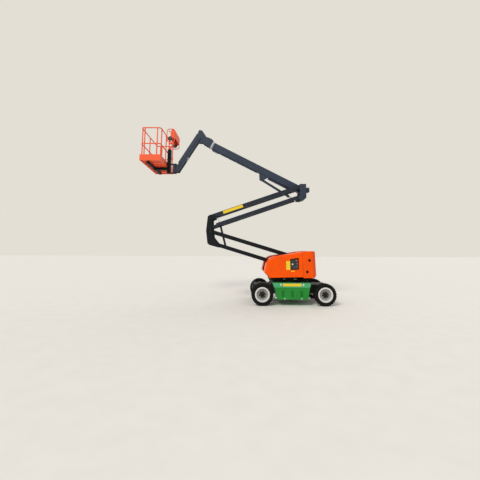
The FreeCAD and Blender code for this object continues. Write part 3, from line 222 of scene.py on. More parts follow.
# Tyres: foam-filled rubber with block lugs on both shoulders, moulded in one with the side walls.
# Each stands for its CAD tyre, whose sizes it keeps: the lugs' tops are the tread.
TYRE_RADIUS = 0.3555
TYRE_HALF = 0.12
LUG_COUNT = 26
LUG_LONG = 0.044
LUG_WIDE = 0.112
LUG_HEIGHT = 0.013
LUG_SKEW = 0.42
LUG_SINK = 0.0015
WHEELS = {
    # wheel: X and Y of its middle, and which way its outer face looks
    "front_left": (-0.904, 0.755, 1),
    "front_right": (-0.904, -0.755, -1),
    "rear_left": (-2.934, 0.755, 1),
    "rear_right": (-2.934, -0.755, -1),
}


def finish_piece(name, mesh, material, body):
    """A piece with its finish and the body that it rides on."""
    item = new_object(name, mesh)
    if material is not None:
        mesh.materials.clear()
        mesh.materials.append(material)
    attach(item, body)
    return item


def turned_mesh(name, section, steps, smooth=True):
    """A closed ring turned about the Y axis from its half section, as (radius, y) points."""
    shell = bmesh.new()
    rings = []
    for step in range(steps):
        angle = 2 * math.pi * step / steps
        rings.append([shell.verts.new((r * math.sin(angle), y, r * math.cos(angle)))
                      for r, y in section])
    count = len(section)
    for step in range(steps):
        near, far = rings[step], rings[(step + 1) % steps]
        for index in range(count):
            after = (index + 1) % count
            shell.faces.new((near[index], near[after], far[after], far[index]))
    bmesh.ops.recalc_face_normals(shell, faces=shell.faces)
    mesh = bpy.data.meshes.new(name)
    shell.to_mesh(mesh)
    shell.free()
    for face in mesh.polygons:
        face.use_smooth = smooth
    return mesh


def new_tree(name, sizes):
    """An empty Geometry Nodes tree with named inputs, and its input and output nodes."""
    tree = bpy.data.node_groups.new(name, "GeometryNodeTree")
    tree.interface.new_socket("Geometry", in_out="INPUT", socket_type="NodeSocketGeometry")
    for size_name, kind, start in sizes:
        socket = tree.interface.new_socket(size_name, in_out="INPUT", socket_type=kind)
        if start is not None:
            socket.default_value = start
    tree.interface.new_socket("Geometry", in_out="OUTPUT", socket_type="NodeSocketGeometry")
    return tree, add(tree, "NodeGroupInput"), add(tree, "NodeGroupOutput")


def end_tree(tree, given, made, shape):
    """Ends a Geometry Nodes tree: its instances made real, in the material it is given."""
    solid = add(tree, "GeometryNodeRealizeInstances", {"Geometry": shape})
    finished = add(tree, "GeometryNodeSetMaterial", {"Geometry": solid.outputs[0],
                                                     "Material": given.outputs["Material"]})
    tree.links.new(finished.outputs[0], made.inputs[0])


def grow(points, tree, sizes):
    """Runs a Geometry Nodes tree on points and returns the plain mesh that it makes."""
    seed = bpy.data.meshes.new("seed")
    seed.from_pydata(points, [], [])
    source = new_object("seed", seed)
    modifier = source.modifiers.new("grow", "NODES")
    modifier.node_group = tree
    for item in tree.interface.items_tree:
        if item.in_out == "INPUT" and item.name in sizes:
            modifier[item.identifier] = sizes[item.name]
    bpy.context.view_layer.update()
    seen_from = bpy.context.evaluated_depsgraph_get()
    mesh = bpy.data.meshes.new_from_object(source.evaluated_get(seen_from), depsgraph=seen_from)
    source.modifiers.remove(modifier)
    bpy.data.objects.remove(source)
    return mesh


# Moulded rubber has almost no shine and is greyed by dust in patches of 38.5 mm. Its fine pits are
# drawn at 2.38 mm, coarser than the real half millimetre, to show.
rubber = mottled("moulded_black_rubber_dusty", 38.5, 8.0, ("#0c0d0d", "#1d1c1b"), (0.7, 0.95),
                 mirror=0.12, relief=(2.38, 0.0008, 0.6))

lug_tree, given, made = new_tree("tyre_lugs", (
    ("Count", "NodeSocketInt", LUG_COUNT), ("Radius", "NodeSocketFloat", TYRE_RADIUS),
    ("Lug", "NodeSocketVector", (LUG_LONG, LUG_WIDE, LUG_HEIGHT)),
    ("Side", "NodeSocketFloat", TYRE_HALF / 2), ("Skew", "NodeSocketFloat", LUG_SKEW),
    ("Material", "NodeSocketMaterial", None),
))
lug = add(lug_tree, "GeometryNodeMeshCube", {"Size": given.outputs["Lug"]})
index = add(lug_tree, "GeometryNodeInputIndex")
slice_angle = add(lug_tree, "ShaderNodeMath", {0: math.tau, 1: given.outputs["Count"]},
                  operation="DIVIDE")
rows = []
for side, start in ((1.0, 0.0), (-1.0, 0.5)):
    skew = add(lug_tree, "ShaderNodeMath", {0: given.outputs["Skew"], 1: side},
               operation="MULTIPLY")
    tilt = add(lug_tree, "ShaderNodeCombineXYZ", {"Z": skew.outputs[0]})
    offset = add(lug_tree, "ShaderNodeMath", {0: given.outputs["Side"], 1: side},
                 operation="MULTIPLY")
    shift = add(lug_tree, "ShaderNodeCombineXYZ", {"Y": offset.outputs[0]})
    laid = add(lug_tree, "GeometryNodeTransform", {
        "Geometry": lug.outputs["Mesh"], "Rotation": tilt.outputs[0],
        "Translation": shift.outputs[0]})
    points = add(lug_tree, "GeometryNodePoints", {"Count": given.outputs["Count"]})
    step = add(lug_tree, "ShaderNodeMath", {0: index.outputs[0], 1: start}, operation="ADD")
    angle = add(lug_tree, "ShaderNodeMath", {0: step.outputs[0], 1: slice_angle.outputs[0]},
                operation="MULTIPLY")
    across = add(lug_tree, "ShaderNodeMath", {0: angle.outputs[0]}, operation="SINE")
    up = add(lug_tree, "ShaderNodeMath", {0: angle.outputs[0]}, operation="COSINE")
    direction = add(lug_tree, "ShaderNodeCombineXYZ", {"X": across.outputs[0],
                                                       "Z": up.outputs[0]})
    spot = add(lug_tree, "ShaderNodeVectorMath", {0: direction.outputs[0],
                                                  "Scale": given.outputs["Radius"]},
               operation="SCALE")
    ring = add(lug_tree, "GeometryNodeSetPosition", {"Geometry": points.outputs[0],
                                                     "Position": spot.outputs[0]})
    spin = add(lug_tree, "ShaderNodeCombineXYZ", {"Y": angle.outputs[0]})
    rows.append(add(lug_tree, "GeometryNodeInstanceOnPoints", {
        "Points": ring.outputs[0], "Instance": laid.outputs[0], "Rotation": spin.outputs[0]}))
joined = add(lug_tree, "GeometryNodeJoinGeometry")
for row in rows:
    lug_tree.links.new(row.outputs[0], joined.inputs[0])
end_tree(lug_tree, given, made, joined.outputs[0])

CARCASS_HALF = ((0.2228, 0.095), (0.2468, 0.095), (0.2565, 0.113), (0.2855, 0.12),
                (0.318, 0.118), (0.336, 0.108), (0.3425, 0.094))
CARCASS = CARCASS_HALF + tuple((radius, -y) for radius, y in reversed(CARCASS_HALF))
lugs = grow([], lug_tree, {
    "Count": LUG_COUNT, "Radius": TYRE_RADIUS - LUG_HEIGHT / 2 - LUG_SINK,
    "Lug": (LUG_LONG, LUG_WIDE, LUG_HEIGHT), "Side": TYRE_HALF / 2, "Skew": LUG_SKEW,
    "Material": rubber,
})
whole = bmesh.new()
whole.from_mesh(turned_mesh("carcass", CARCASS, 96))
whole.from_mesh(lugs)
for wheel, (x, y, _) in WHEELS.items():
    mesh = bpy.data.meshes.new("tyre_" + wheel)
    whole.to_mesh(mesh)
    mesh.transform(Matrix.Translation((x, y, TYRE_RADIUS)))
    tyre = finish_piece("tyre_lugged_" + wheel, mesh, rubber, "wheel_" + wheel)
    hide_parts("tyre_" + wheel)
whole.free()

# Rims: pressed steel with bright white enamel on the flange, the dished disc greyed as painted
# shade in its recess, and the wheel motor's dark cast hub in the middle. Each disc is held by
# nine nuts.
RIM_ZONES = (
    # distance from the axle where it starts, and its two tones
    (0.0, "#0b0b0b", "#191817"),  # cast hub
    (0.106, "#a19e9b", "#807c78"),  # recessed disc, greyed as painted shade
    (0.184, "#dddcd9", "#c2bfba"),  # bright flange
    (0.236, "#141413", "#141413"),  # outer lip, drawn near black
)
RIM_EDGE = 0.003
NUT_CIRCLE, NUT_COUNT, NUT_FACE, NUT_START = 0.132, 9, 0.046, 0.0
HUB_CIRCLE, HUB_COUNT, HUB_FACE, HUB_START = 0.085, 6, 0.076, 0.3
WHEEL_NUT = (0.0125, 0.016)
HUB_SCREW = (0.008, 0.008)


def rim_enamel(name, x):
    """Enamel on pressed steel: a bright eggshell flange round a disc greyed as painted shade in its
    recess and a dark hub, told apart by the distance from the axle, and soiled in patches of
    71.4 mm."""
    material, tree, shader, place = new_material(name)
    centred = add(tree, "ShaderNodeMapping", {
        "Vector": place, "Location": (-x, 0.0, -TYRE_RADIUS), "Scale": (1.0, 0.0, 1.0)})
    far = add(tree, "ShaderNodeVectorMath", {0: centred.outputs[0]}, operation="LENGTH")
    soil = add(tree, "ShaderNodeTexNoise", {"Vector": place, "Scale": cells(71.4), "Detail": 9.0})
    colour = None
    for start, one, other in RIM_ZONES:
        tone = add(tree, "ShaderNodeMix", {0: soil.outputs["Fac"], 6: linear(one),
                                           7: linear(other)}, data_type="RGBA").outputs[2]
        if colour is None:
            colour = tone
            continue
        zone = add(tree, "ShaderNodeMapRange", {"Value": far.outputs["Value"], "From Min": start,
                                                "From Max": start + RIM_EDGE})
        colour = add(tree, "ShaderNodeMix", {0: zone.outputs[0], 6: colour, 7: tone},
                     data_type="RGBA").outputs[2]
    tree.links.new(colour, shader.inputs["Base Color"])
    gloss = add(tree, "ShaderNodeMapRange", {"Value": soil.outputs["Fac"], "To Min": 0.3,
                                             "To Max": 0.6})
    tree.links.new(gloss.outputs["Result"], shader.inputs["Roughness"])
    shader.inputs["Specular IOR Level"].default_value = 0.2
    return material


bolt_tree, given, made = new_tree("hexagon_bolts", (
    ("Radius", "NodeSocketFloat", 0.01), ("Height", "NodeSocketFloat", 0.01),
    ("Aim", "NodeSocketVector", (0, 0, 0)), ("Material", "NodeSocketMaterial", None),
))
WASHER_RADIUS = 1.35  # of the head's radius
WASHER_HEIGHT = 0.45  # of the head's height
WASHER_DROP = -0.3  # of the head's height, from its middle
head = add(bolt_tree, "GeometryNodeMeshCylinder", {
    "Vertices": 6, "Radius": given.outputs["Radius"], "Depth": given.outputs["Height"]})
wide, thin, drop = [
    add(bolt_tree, "ShaderNodeMath", {0: given.outputs[size_name], 1: share}, operation="MULTIPLY")
    for size_name, share in (("Radius", WASHER_RADIUS), ("Height", WASHER_HEIGHT),
                             ("Height", WASHER_DROP))]
washer = add(bolt_tree, "GeometryNodeMeshCylinder", {
    "Vertices": 16, "Radius": wide.outputs[0], "Depth": thin.outputs[0]})
low = add(bolt_tree, "ShaderNodeCombineXYZ", {"Z": drop.outputs[0]})
seated = add(bolt_tree, "GeometryNodeTransform", {"Geometry": washer.outputs["Mesh"],
                                                  "Translation": low.outputs[0]})
bolt = add(bolt_tree, "GeometryNodeJoinGeometry")
bolt_tree.links.new(head.outputs["Mesh"], bolt.inputs[0])
bolt_tree.links.new(seated.outputs[0], bolt.inputs[0])
placed = add(bolt_tree, "GeometryNodeInstanceOnPoints", {
    "Points": given.outputs["Geometry"], "Instance": bolt.outputs[0],
    "Rotation": given.outputs["Aim"]})
end_tree(bolt_tree, given, made, placed.outputs[0])

# Zinc plate has a grey metal shine that is dulled by bloom in patches of 16.7 mm.
zinc = mottled("bright_zinc_plated_steel", 16.7, 4.0, ("#c9c9c4", "#9c9a92"), (0.25, 0.5),
               metallic=0.85)

# Blue-passivated zinc gives small pressings a pale, cool, nearly white glint.
bright_zinc = mottled("blue_passivated_zinc_pressing", 20, 4.0, ("#dfe6ea", "#c3cbd0"), 0.4,
                      metallic=0.3)

FACING = {"left": (-math.pi / 2, 0.0, 0.0), "right": (math.pi / 2, 0.0, 0.0),
          "up": (0.0, 0.0, 0.0)}


def bolts(name, spots, facing, head, material, body):
    """Hexagon heads on washers at spots, all facing one way. A head is its radius and height."""
    mesh = grow(spots, bolt_tree, {"Radius": head[0], "Height": head[1], "Aim": FACING[facing],
                                   "Material": material})
    return finish_piece(name, mesh, None, body)


def around(x, y, radius, count, start):
    """Places in a circle round a wheel's axle, which lies along Y."""
    angles = [start + math.tau * step / count for step in range(count)]
    return [(x + radius * math.cos(angle), y, TYRE_RADIUS + radius * math.sin(angle))
            for angle in angles]


for wheel, (x, y, out) in WHEELS.items():
    dress(rim_enamel("white_rim_enamel_" + wheel, x), "rim_" + wheel)
    side = "left" if out > 0 else "right"
    nuts = around(x, y + out * NUT_FACE, NUT_CIRCLE, NUT_COUNT, NUT_START)
    bolts("wheel_nuts_" + wheel, nuts, side, WHEEL_NUT, zinc, "wheel_" + wheel)
    screws = around(x, y + out * HUB_FACE, HUB_CIRCLE, HUB_COUNT, HUB_START)
    bolts("hub_screws_" + wheel, screws, side, HUB_SCREW, zinc, "wheel_" + wheel)

# Battery boxes: pressed sheet in green enamel, painted paler on the box than on the doors as
# painted light on its top band. The doors hinge under the top band and are screwed shut. Toggle
# latches sit on the band, lashing eyes below.
SIDES = (("left", 1), ("right", -1))
BAND_FACE = 0.856
BAND_FILM = ((-2.17, 0.622), (-1.57, 0.706))
FILM_THICK = 0.0015
BAND_SCREW = (0.008, 0.007)
BAND_SCREWS = ((-1.32, 0.66), (-2.40, 0.66))
DOOR_FACE = 0.8646
DOOR_SCREW = (0.0145, 0.009)
DOOR_SCREWS = ((-1.625, 0.234), (-2.165, 0.234))
SCREW_SEAT = 0.004
LATCHES_X = (-1.505, -2.232)
LATCH_PLATES = (
    # half width, lowest and highest Z, and how far it stands out
    (0.024, 0.635, 0.700, 0.004),
    (0.015, 0.642, 0.694, 0.011),
)
EYE_Y, EYE_FACES = 0.83, (0.818, 0.845)
EYE_STEM, EYE_RING = 0.009, 0.024
FRONT_EYE_Z, REAR_EYE_Z = 0.264, 0.240

# The doors' enamel is a deep clean green with a soft gloss.
green_enamel = paint("gloss_green_enamel", "#22822f", 0.08, 0.36, mirror=0.2)
dress(green_enamel, "battery_door_left", "battery_door_right")

# The box's enamel is drawn a paler, bluer and flatter green, as painted light on its sunlit band.
green_painted_lighter_as_lit = paint("green_enamel_lightened_as_painted_light", "#48a468", 0.08, 0.42, mirror=0.2)
dress(green_painted_lighter_as_lit, "battery_box_left", "battery_box_right")

# Moulded polypropylene is dark grey with a waxy half shine, clouded in patches of 33.3 mm.
battery_case = mottled("moulded_polypropylene_battery_case", 33.3, 3.0, ("#2a2a2c", "#3c3c3e"),
                       0.6)
dress(battery_case, "battery_pack_left", "battery_pack_right")


def block(corner, opposite, round_by=0.0):
    """A box between two opposite corners with its edges rounded, as a bmesh."""
    low = Vector([min(pair) for pair in zip(corner, opposite)])
    high = Vector([max(pair) for pair in zip(corner, opposite)])
    shape = bmesh.new()
    bmesh.ops.create_cube(shape, size=1.0, matrix=Matrix.Translation((high + low) / 2)
                          @ Matrix.Diagonal((*(high - low), 1.0)))
    if round_by:
        bmesh.ops.bevel(shape, geom=list(shape.edges), offset=round_by, segments=2, profile=0.5,
                        affect="EDGES")
    return shape


def rod(start, end, radius, sides=16):
    """A round bar between two points, as a bmesh."""
    shape = bmesh.new()
    start, end = Vector(start), Vector(end)
    along = end - start
    turn_to = along.to_track_quat("Z", "Y").to_matrix().to_4x4()
    bmesh.ops.create_cone(shape, cap_ends=True, segments=sides, radius1=radius, radius2=radius,
                          depth=along.length,
                          matrix=Matrix.Translation((start + end) / 2) @ turn_to)
    for face in shape.faces:
        face.smooth = len(face.verts) == 4
    return shape


def assemble(name, shapes, material, body, place_at=None):
    """One piece of several shapes, in its place."""
    whole = bmesh.new()
    for shape in shapes:
        part = bpy.data.meshes.new("part")
        shape.to_mesh(part)
        shape.free()
        whole.from_mesh(part)
        bpy.data.meshes.remove(part)
    mesh = bpy.data.meshes.new(name)
    if place_at is not None:
        bmesh.ops.transform(whole, matrix=place_at, verts=whole.verts)
    whole.to_mesh(mesh)
    whole.free()
    return finish_piece(name, mesh, material, body)


# Vinyl film is a flat strong yellow, scuffed in patches of 55.6 mm.
yellow_film = mottled("yellow_vinyl_film", 55.6, 8.0, ("#f2cf1d", "#dcb915"), 0.4)

for side, sign in SIDES:
    band = sign * BAND_FACE
    (start_x, low), (end_x, high) = BAND_FILM
    film = block((start_x, band, low), (end_x, band + sign * FILM_THICK, high))
    assemble("band_film_" + side, [film], yellow_film, "chassis")
    spots = [(x, sign * DOOR_FACE + sign * SCREW_SEAT, z) for x, z in DOOR_SCREWS]
    bolts("door_screws_" + side, spots, side, DOOR_SCREW, bright_zinc, "battery_door_" + side)
    spots = [(x, band + sign * SCREW_SEAT, z) for x, z in BAND_SCREWS]
    bolts("band_screws_" + side, spots, side, BAND_SCREW, zinc, "chassis")
    latches = [block((x - half_width, band - sign * 0.0005, low),
                     (x + half_width, band + sign * proud, high), 0.0015)
               for x in LATCHES_X for half_width, low, high, proud in LATCH_PLATES]
    assemble("band_toggle_latches_" + side, latches, bright_zinc, "chassis")
    near, far = sorted(sign * face for face in EYE_FACES)
    eye_y = sign * EYE_Y
    assemble("lashing_eyes_" + side, [
        rod((-1.395, eye_y, FRONT_EYE_Z), (-1.334, eye_y, FRONT_EYE_Z), EYE_STEM),
        rod((-1.337, near, FRONT_EYE_Z), (-1.337, far, FRONT_EYE_Z), EYE_RING, 28),
        rod((-2.372, eye_y, REAR_EYE_Z), (-2.415, eye_y, REAR_EYE_Z), EYE_STEM),
        block((-2.432, near, 0.226), (-2.398, far, 0.256), 0.004),
    ], bright_zinc, "chassis")

# Turret: the slewing ring of machined steel with its bolts, the base plate and cheeks in dark
# paint, and the power unit that stands between the covers.
TURRET_X = -1.919
RING_CIRCLE, RING_COUNT, RING_TOP = 0.345, 24, 0.822
RING_BOLT = (0.012, 0.012)

# Turned steel under oil is a mid grey metal whose shine wanders in patches of 45.5 mm.
machined = mottled("turned_steel_with_oil_film", 45.5, 5.0, ("#5b5c5d", "#7e7c78"), (0.28, 0.5),
                   metallic=0.8)
dress(machined, "slewing_ring")

# The dark machine paint, drawn near black as painted shade on the lower, shaded structure, keeps a
# weak, broad sheen along its edges.
shade_darkened_structure_paint = paint("structure_paint_darkened_as_painted_shade", "#17191c", 0.03, 0.5, mirror=0.12)
dress(shade_darkened_structure_paint, "turret_frame")

# The pump housing's paint is as dark, but dusty where air is drawn past it.
pump_paint = paint("dark_pump_housing_paint", "#222325", 0.2, 0.5)
dress(pump_paint, "power_unit")
ring_angles = [math.tau * step / RING_COUNT for step in range(RING_COUNT)]
bolts("slewing_ring_bolts",
      [(TURRET_X + RING_CIRCLE * math.cos(angle), RING_CIRCLE * math.sin(angle), RING_TOP)
       for angle in ring_angles], "up", RING_BOLT, zinc, "turret")

# Counterweight: a casting across the tail, filled and sprayed in the covers' orange. The two
# holes in each side are sling points, with black discs in them as painted shade, and edged by
# thick rubber grommets.
SLING_HOLES = (("upper", -0.530, 1.451), ("lower", -0.450, 1.082))
HOLE_FLOOR = 0.824
FLOOR_THICK = 0.006
HOLE_RADIUS = 0.0255
GROMMET_RADII = (0.0262, 0.043)
GROMMET_FACES = (0.848, 0.8535)

# Two-pack gloss gives the sheet covers a clean saturated orange with soft highlights.
orange_gloss = paint("gloss_orange_two_pack", "#f35300", 0.03, 0.3, peel=0.0004, mirror=0.12)

# The same paint over filled cast iron is a shade deeper and more uneven.
orange_cast = paint("orange_over_cast_iron", "#ee5100", 0.04, 0.38, peel=0.0016, mirror=0.12)
dress(orange_cast, "counterweight")

# A dead black that swallows the light. On discs in the holes it is painted shade, so that the
# holes look deep; it also colours the black rubber grommets.
shade_and_grommet_black = mottled("dead_black_painted_hole_shade_and_grommets", 25, 3.0, ("#050505", "#0b0b0b"), 0.8, mirror=0.1)

inner, outer = GROMMET_RADII
for side, sign in SIDES:
    low, high = sorted(sign * face for face in GROMMET_FACES)
    shade_discs = [rod((TURRET_X + x, sign * HOLE_FLOOR, z),
                  (TURRET_X + x, sign * HOLE_FLOOR + sign * FLOOR_THICK, z), HOLE_RADIUS, 32)
              for hole, x, z in SLING_HOLES]
    assemble("counterweight_hole_shade_discs_" + side, shade_discs, shade_and_grommet_black, "turret")
    for hole, x, z in SLING_HOLES:
        mesh = turned_mesh("grommet", ((inner, low), (outer, low), (outer, high), (inner, high)),
                           40, smooth=False)
        mesh.transform(Matrix.Translation((TURRET_X + x, 0.0, z)))
        finish_piece(f"sling_hole_grommet_{hole}_{side}", mesh, shade_and_grommet_black, "turret")

# Covers: pressed steel shells in gloss orange, hinged on the turret's cheeks. Two shallow swages
# stiffen each side, and two turned latches hold its lower edge.
dress(orange_gloss, "hood_left", "hood_right")
SWAGE_Y = 0.8480
SWAGE = ((-1.385, 1.13), (-1.395, 1.20), (-1.412, 1.30), (-1.435, 1.39), (-1.470, 1.437),
         (-1.530, 1.452), (-1.630, 1.452), (-1.668, 1.435), (-1.678, 1.36))
LOW_SWAGE_Y = 0.8485
LOW_SWAGE = ((-1.30, 0.985), (-1.60, 0.990), (-2.10, 0.990))
COVER_LATCHES_X = (-1.62, -1.98)
COVER_LATCH_HALF = 0.04


def swept(name, points, radius, material, body):
    """A round bar bent along points, as a mesh piece. Its spline eases the corners."""
    curve = bpy.data.curves.new(name, "CURVE")
    curve.dimensions = "3D"
    curve.bevel_depth = radius
    curve.bevel_resolution = 4
    curve.resolution_u = 10
    curve.use_fill_caps = True
    line = curve.splines.new("NURBS")
    line.points.add(len(points) - 1)
    for spot, given in zip(line.points, points):
        spot.co = (*given, 1.0)
    line.order_u = 3
    line.use_endpoint_u = True
    holder = new_object(name + "_line", curve)
    bpy.context.view_layer.update()
    seen_from = bpy.context.evaluated_depsgraph_get()
    mesh = bpy.data.meshes.new_from_object(holder.evaluated_get(seen_from), depsgraph=seen_from)
    bpy.data.objects.remove(holder)
    for face in mesh.polygons:
        face.use_smooth = True
    return finish_piece(name, mesh, material, body)


for side, sign in SIDES:
    swept("cover_swage_" + side, [(x, sign * SWAGE_Y, z) for x, z in SWAGE], 0.008, orange_gloss,
          "hood_" + side)
    swept("cover_low_swage_" + side, [(x, sign * LOW_SWAGE_Y, z) for x, z in LOW_SWAGE], 0.005,
          orange_gloss, "hood_" + side)
    latches = []
    for x in COVER_LATCHES_X:
        latches.append(block((x - COVER_LATCH_HALF, sign * 0.80, 0.838),
                             (x + COVER_LATCH_HALF, sign * 0.83, 0.858), 0.004))
        latches.append(rod((x, sign * 0.815, 0.86), (x, sign * 0.815, 0.834), 0.009))
    assemble("cover_latches_" + side, latches, machined, "hood_" + side)

# Ground controls: a black moulded panel in the left cover's window, with a red stop button, a key
# switch, two rows of toggles, a round meter and a small hour counter window.
PANEL_Y = 0.830
STOP_X, STOP_Z = -2.03, 1.445

# Moulded ABS is dark with a soft broad sheen. Its sand grain is drawn at 3.33 mm, coarser than the
# real half millimetre, to show.
panel_black = mottled("black_abs_panel", 3.33, 2.0, ("#1b1b1d", "#28282a"), 0.55,
                      relief=(3.33, 0.0005, 0.5))
dress(panel_black, "ground_controls")


def moulded(name, colour, roughness=0.35):
    """A small part in one colour, faintly clouded in patches of 22.2 mm."""
    material, tree, shader, place = new_material(name)
    cloud = add(tree, "ShaderNodeTexNoise", {"Vector": place, "Scale": cells(22.2), "Detail": 3.0})
    shade = add(tree, "ShaderNodeMapRange", {"Value": cloud.outputs["Fac"], "To Min": 0.88,
                                             "To Max": 1.12})
    base = add(tree, "ShaderNodeVectorMath", {0: linear(colour)[:3],
                                              "Scale": shade.outputs["Result"]}, operation="SCALE")
    tree.links.new(base.outputs["Vector"], shader.inputs["Base Color"])
    shader.inputs["Roughness"].default_value = roughness
    return material


def boss(x, z, start, reach, radius, sides):
    """A round part that stands straight out of the ground panel."""
    return rod((x, PANEL_Y + start, z), (x, PANEL_Y + reach, z), radius, sides)


# Small moulded parts have clean colours and a smooth half gloss, and the window a clear one.
stop_red = moulded("red_nylon_push_button", "#c8201c")
stop_yellow = moulded("yellow_polyester_backplate", "#e9c11a")
grey_cap = moulded("grey_nylon_cap", "#9a9c9e")
slate_cap = moulded("slate_nylon_bush", "#4d4f52")
white_cap = moulded("white_acetal_cap", "#dcdcd8")
glass_dark = moulded("smoked_polycarbonate_window", "#2b3a36", 0.12)

switch_spots = [(x, z) for z in (1.205, 1.255) for x in (-1.868, -1.908, -1.948, -1.988)]
PANEL_PIECES = (
    ("panel_fascia", panel_black,
     [block((-2.085, PANEL_Y - 0.002, 1.17), (-1.838, PANEL_Y + 0.004, 1.478), 0.002)]),
    ("panel_switch_bases", slate_cap,
     [boss(x, z, 0.0, 0.008, 0.0115, 12) for x, z in switch_spots]),
    ("panel_toggles", zinc,
     [rod((x, PANEL_Y + 0.004, z), (x, PANEL_Y + 0.02, z + 0.009), 0.0035, 8)
      for x, z in switch_spots]),
    ("stop_button_plate", stop_yellow, [boss(STOP_X, STOP_Z, 0.0, 0.007, 0.023, 24)]),
    ("stop_button", stop_red, [boss(STOP_X, STOP_Z, 0.0, 0.016, 0.011, 16),
                               boss(STOP_X, STOP_Z, 0.014, 0.019, 0.019, 20)]),
    ("key_switch", zinc, [boss(-2.045, 1.345, 0.0, 0.012, 0.013, 20)]),
    ("charge_meter", white_cap, [boss(-1.893, 1.325, 0.0, 0.01, 0.024, 28)]),
    ("hour_counter", glass_dark,
     [block((-1.935, PANEL_Y, 1.395), (-1.875, PANEL_Y + 0.01, 1.425), 0.002)]),
    ("panel_caps", grey_cap,
     [boss(-2.04, z, 0.0, 0.009, 0.009, 14) for z in (1.215, 1.255, 1.295)]),
)
for name, material, shapes in PANEL_PIECES:
    assemble(name, shapes, material, "turret")

FILM_BACK = 0.8498
SEAL_FACE = 0.8512
SEAL_THICK = 0.012
SEAL = ((-1.822, 1.490), (-2.103, 1.529), (-2.095, 1.154), (-1.831, 1.144))
SEAL_INNER = (0.93, 0.95)  # the inner edge's share of the outer, along X and Z
border = bmesh.new()
middle_x = sum(x for x, z in SEAL) / 4
middle_z = sum(z for x, z in SEAL) / 4
outer = [border.verts.new((x, SEAL_FACE, z)) for x, z in SEAL]
inner = [border.verts.new((middle_x + (x - middle_x) * SEAL_INNER[0], SEAL_FACE,
                           middle_z + (z - middle_z) * SEAL_INNER[1])) for x, z in SEAL]
for step in range(4):
    after = (step + 1) % 4
    border.faces.new((outer[step], outer[after], inner[after], inner[step]))
thick = bmesh.ops.extrude_face_region(border, geom=list(border.faces))
bmesh.ops.translate(border, vec=(0, -SEAL_THICK, 0),
                    verts=[v for v in thick["geom"] if isinstance(v, bmesh.types.BMVert)])
bmesh.ops.recalc_face_normals(border, faces=border.faces)
assemble("window_rubber_seal", [border], rubber, "hood_left")
PANEL_FILMS = (
    # name, lowest X and Z, highest X and Z
    ("panel_side_film", -1.815, 1.145, -1.686, 1.428),
    ("panel_low_film", -1.955, 1.085, -1.845, 1.118),
)
for name, start_x, low, end_x, high in PANEL_FILMS:
    film = block((start_x, FILM_BACK, low), (end_x, SEAL_FACE, high))
    assemble(name, [film], yellow_film, "hood_left")

# Riser: twin box arms, their links and the knuckle, all welded from plate and tube, with greased
# steel pins whose ends are held by keeper plates. The chromed rods show only in their cylinders.
PIN_END = 0.274
PIN_CHEEK = PIN_END - 0.012
PIN_BOLT = (0.0085, 0.007)
KEEPER_THICK = 0.009
KEEPER_HALF = 0.014
KEEPER_DROP = 0.042
PINS = {
    # body: X and Z of its pins
    "turret": ((-2.069, 1.140), (-2.099, 1.550)),
    "riser_knuckle": ((0.911, 2.040), (0.881, 2.450), (0.881, 2.560), (0.911, 2.940)),
    "boom_upright": ((-2.419, 4.090), (-2.449, 3.710)),
}
UPPER_PIN = (0.911, 2.940)
UPPER_ANGLE = -19.05
# The lower arm, its link, the knuckle and the riser barrel take the near-black copy, as painted
# shade.
dress(shade_darkened_structure_paint, "lower_riser_arm", "lower_riser_link", "riser_knuckle",
      "riser_cylinder_barrel")

# Satin riser paint is a shade bluer than the structure's, with a soft line of light on each edge.
riser_paint = paint("dark_grey_riser_paint_satin", "#2a2f37", 0.03, 0.45, mirror=0.14)
dress(riser_paint, "upper_riser_arm", "upper_riser_link")

# Hard chrome is a near-white metal with a soft mirror, filmed with oil in patches of 14.3 mm.
chrome = mottled("hard_chromed_rod", 14.3, 3.0, ("#fafbfc", "#e9ebed"), (0.22, 0.38),
                 metallic=0.75)
dress(chrome, "riser_cylinder_rod", "lift_cylinder_rod", "jib_cylinder_rod")


def lean(spot, angle):
    """The place of a piece at a pin, its nose tipped up by an angle in degrees."""
    return (Matrix.Translation((spot[0], 0.0, spot[1]))
            @ Matrix.Rotation(-math.radians(angle), 4, "Y"))


# Black oxide leaves steel dark, with a low oily sheen.
black_oxide = moulded("black_oxide_steel", "#26272a", 0.5)
for side, sign in SIDES:
    for body, pins in PINS.items():
        keepers = []
        spots = []
        cheek = sign * PIN_CHEEK
        for x, z in pins:
            keepers.append(block((x - KEEPER_HALF, cheek, z - 0.052),
                                 (x + KEEPER_HALF, cheek + sign * KEEPER_THICK, z - 0.022),
                                 0.002))
            spots.append((x, sign * (PIN_END + 0.001), z))
            spots.append((x, cheek + sign * 0.012, z - KEEPER_DROP))
        assemble(f"pin_keepers_{body}_{side}", keepers, black_oxide, body)
        bolts(f"pin_bolts_{body}_{side}", spots, side, PIN_BOLT, black_oxide, body)
upper_place = lean(UPPER_PIN, UPPER_ANGLE)
for side, sign in SIDES:
    film = block((-1.24, sign * 0.2415, -0.052), (-0.50, sign * 0.2432, 0.052))
    assemble("upper_arm_film_" + side, [film], yellow_film, "upper_riser_arm",
             upper_place)

# Boom: the main tube in slate grey paint, the fly section in white enamel that shows as a band at
# the tube's mouth, clamps on the hose tray and a nylon wear pad at each corner of the mouth.
BOOM_PIN = (-2.449, 3.925)
BOOM_ANGLE = 27.5
SLEEVE_START, SLEEVE_END = 3.757, 3.792
SLEEVE_SIDE, SLEEVE_WALL = 0.0942, 0.0755
CLAMPS = (1.95, 2.30, 2.65, 3.00, 3.35)
CLAMP_HALF = 0.016
PAD_START, PAD_END = 3.7165, 3.7205
PAD_SIDES = (0.0665, 0.082)
PAD_MIDDLES = (-0.095, 0.095)
PAD_HALF = 0.018

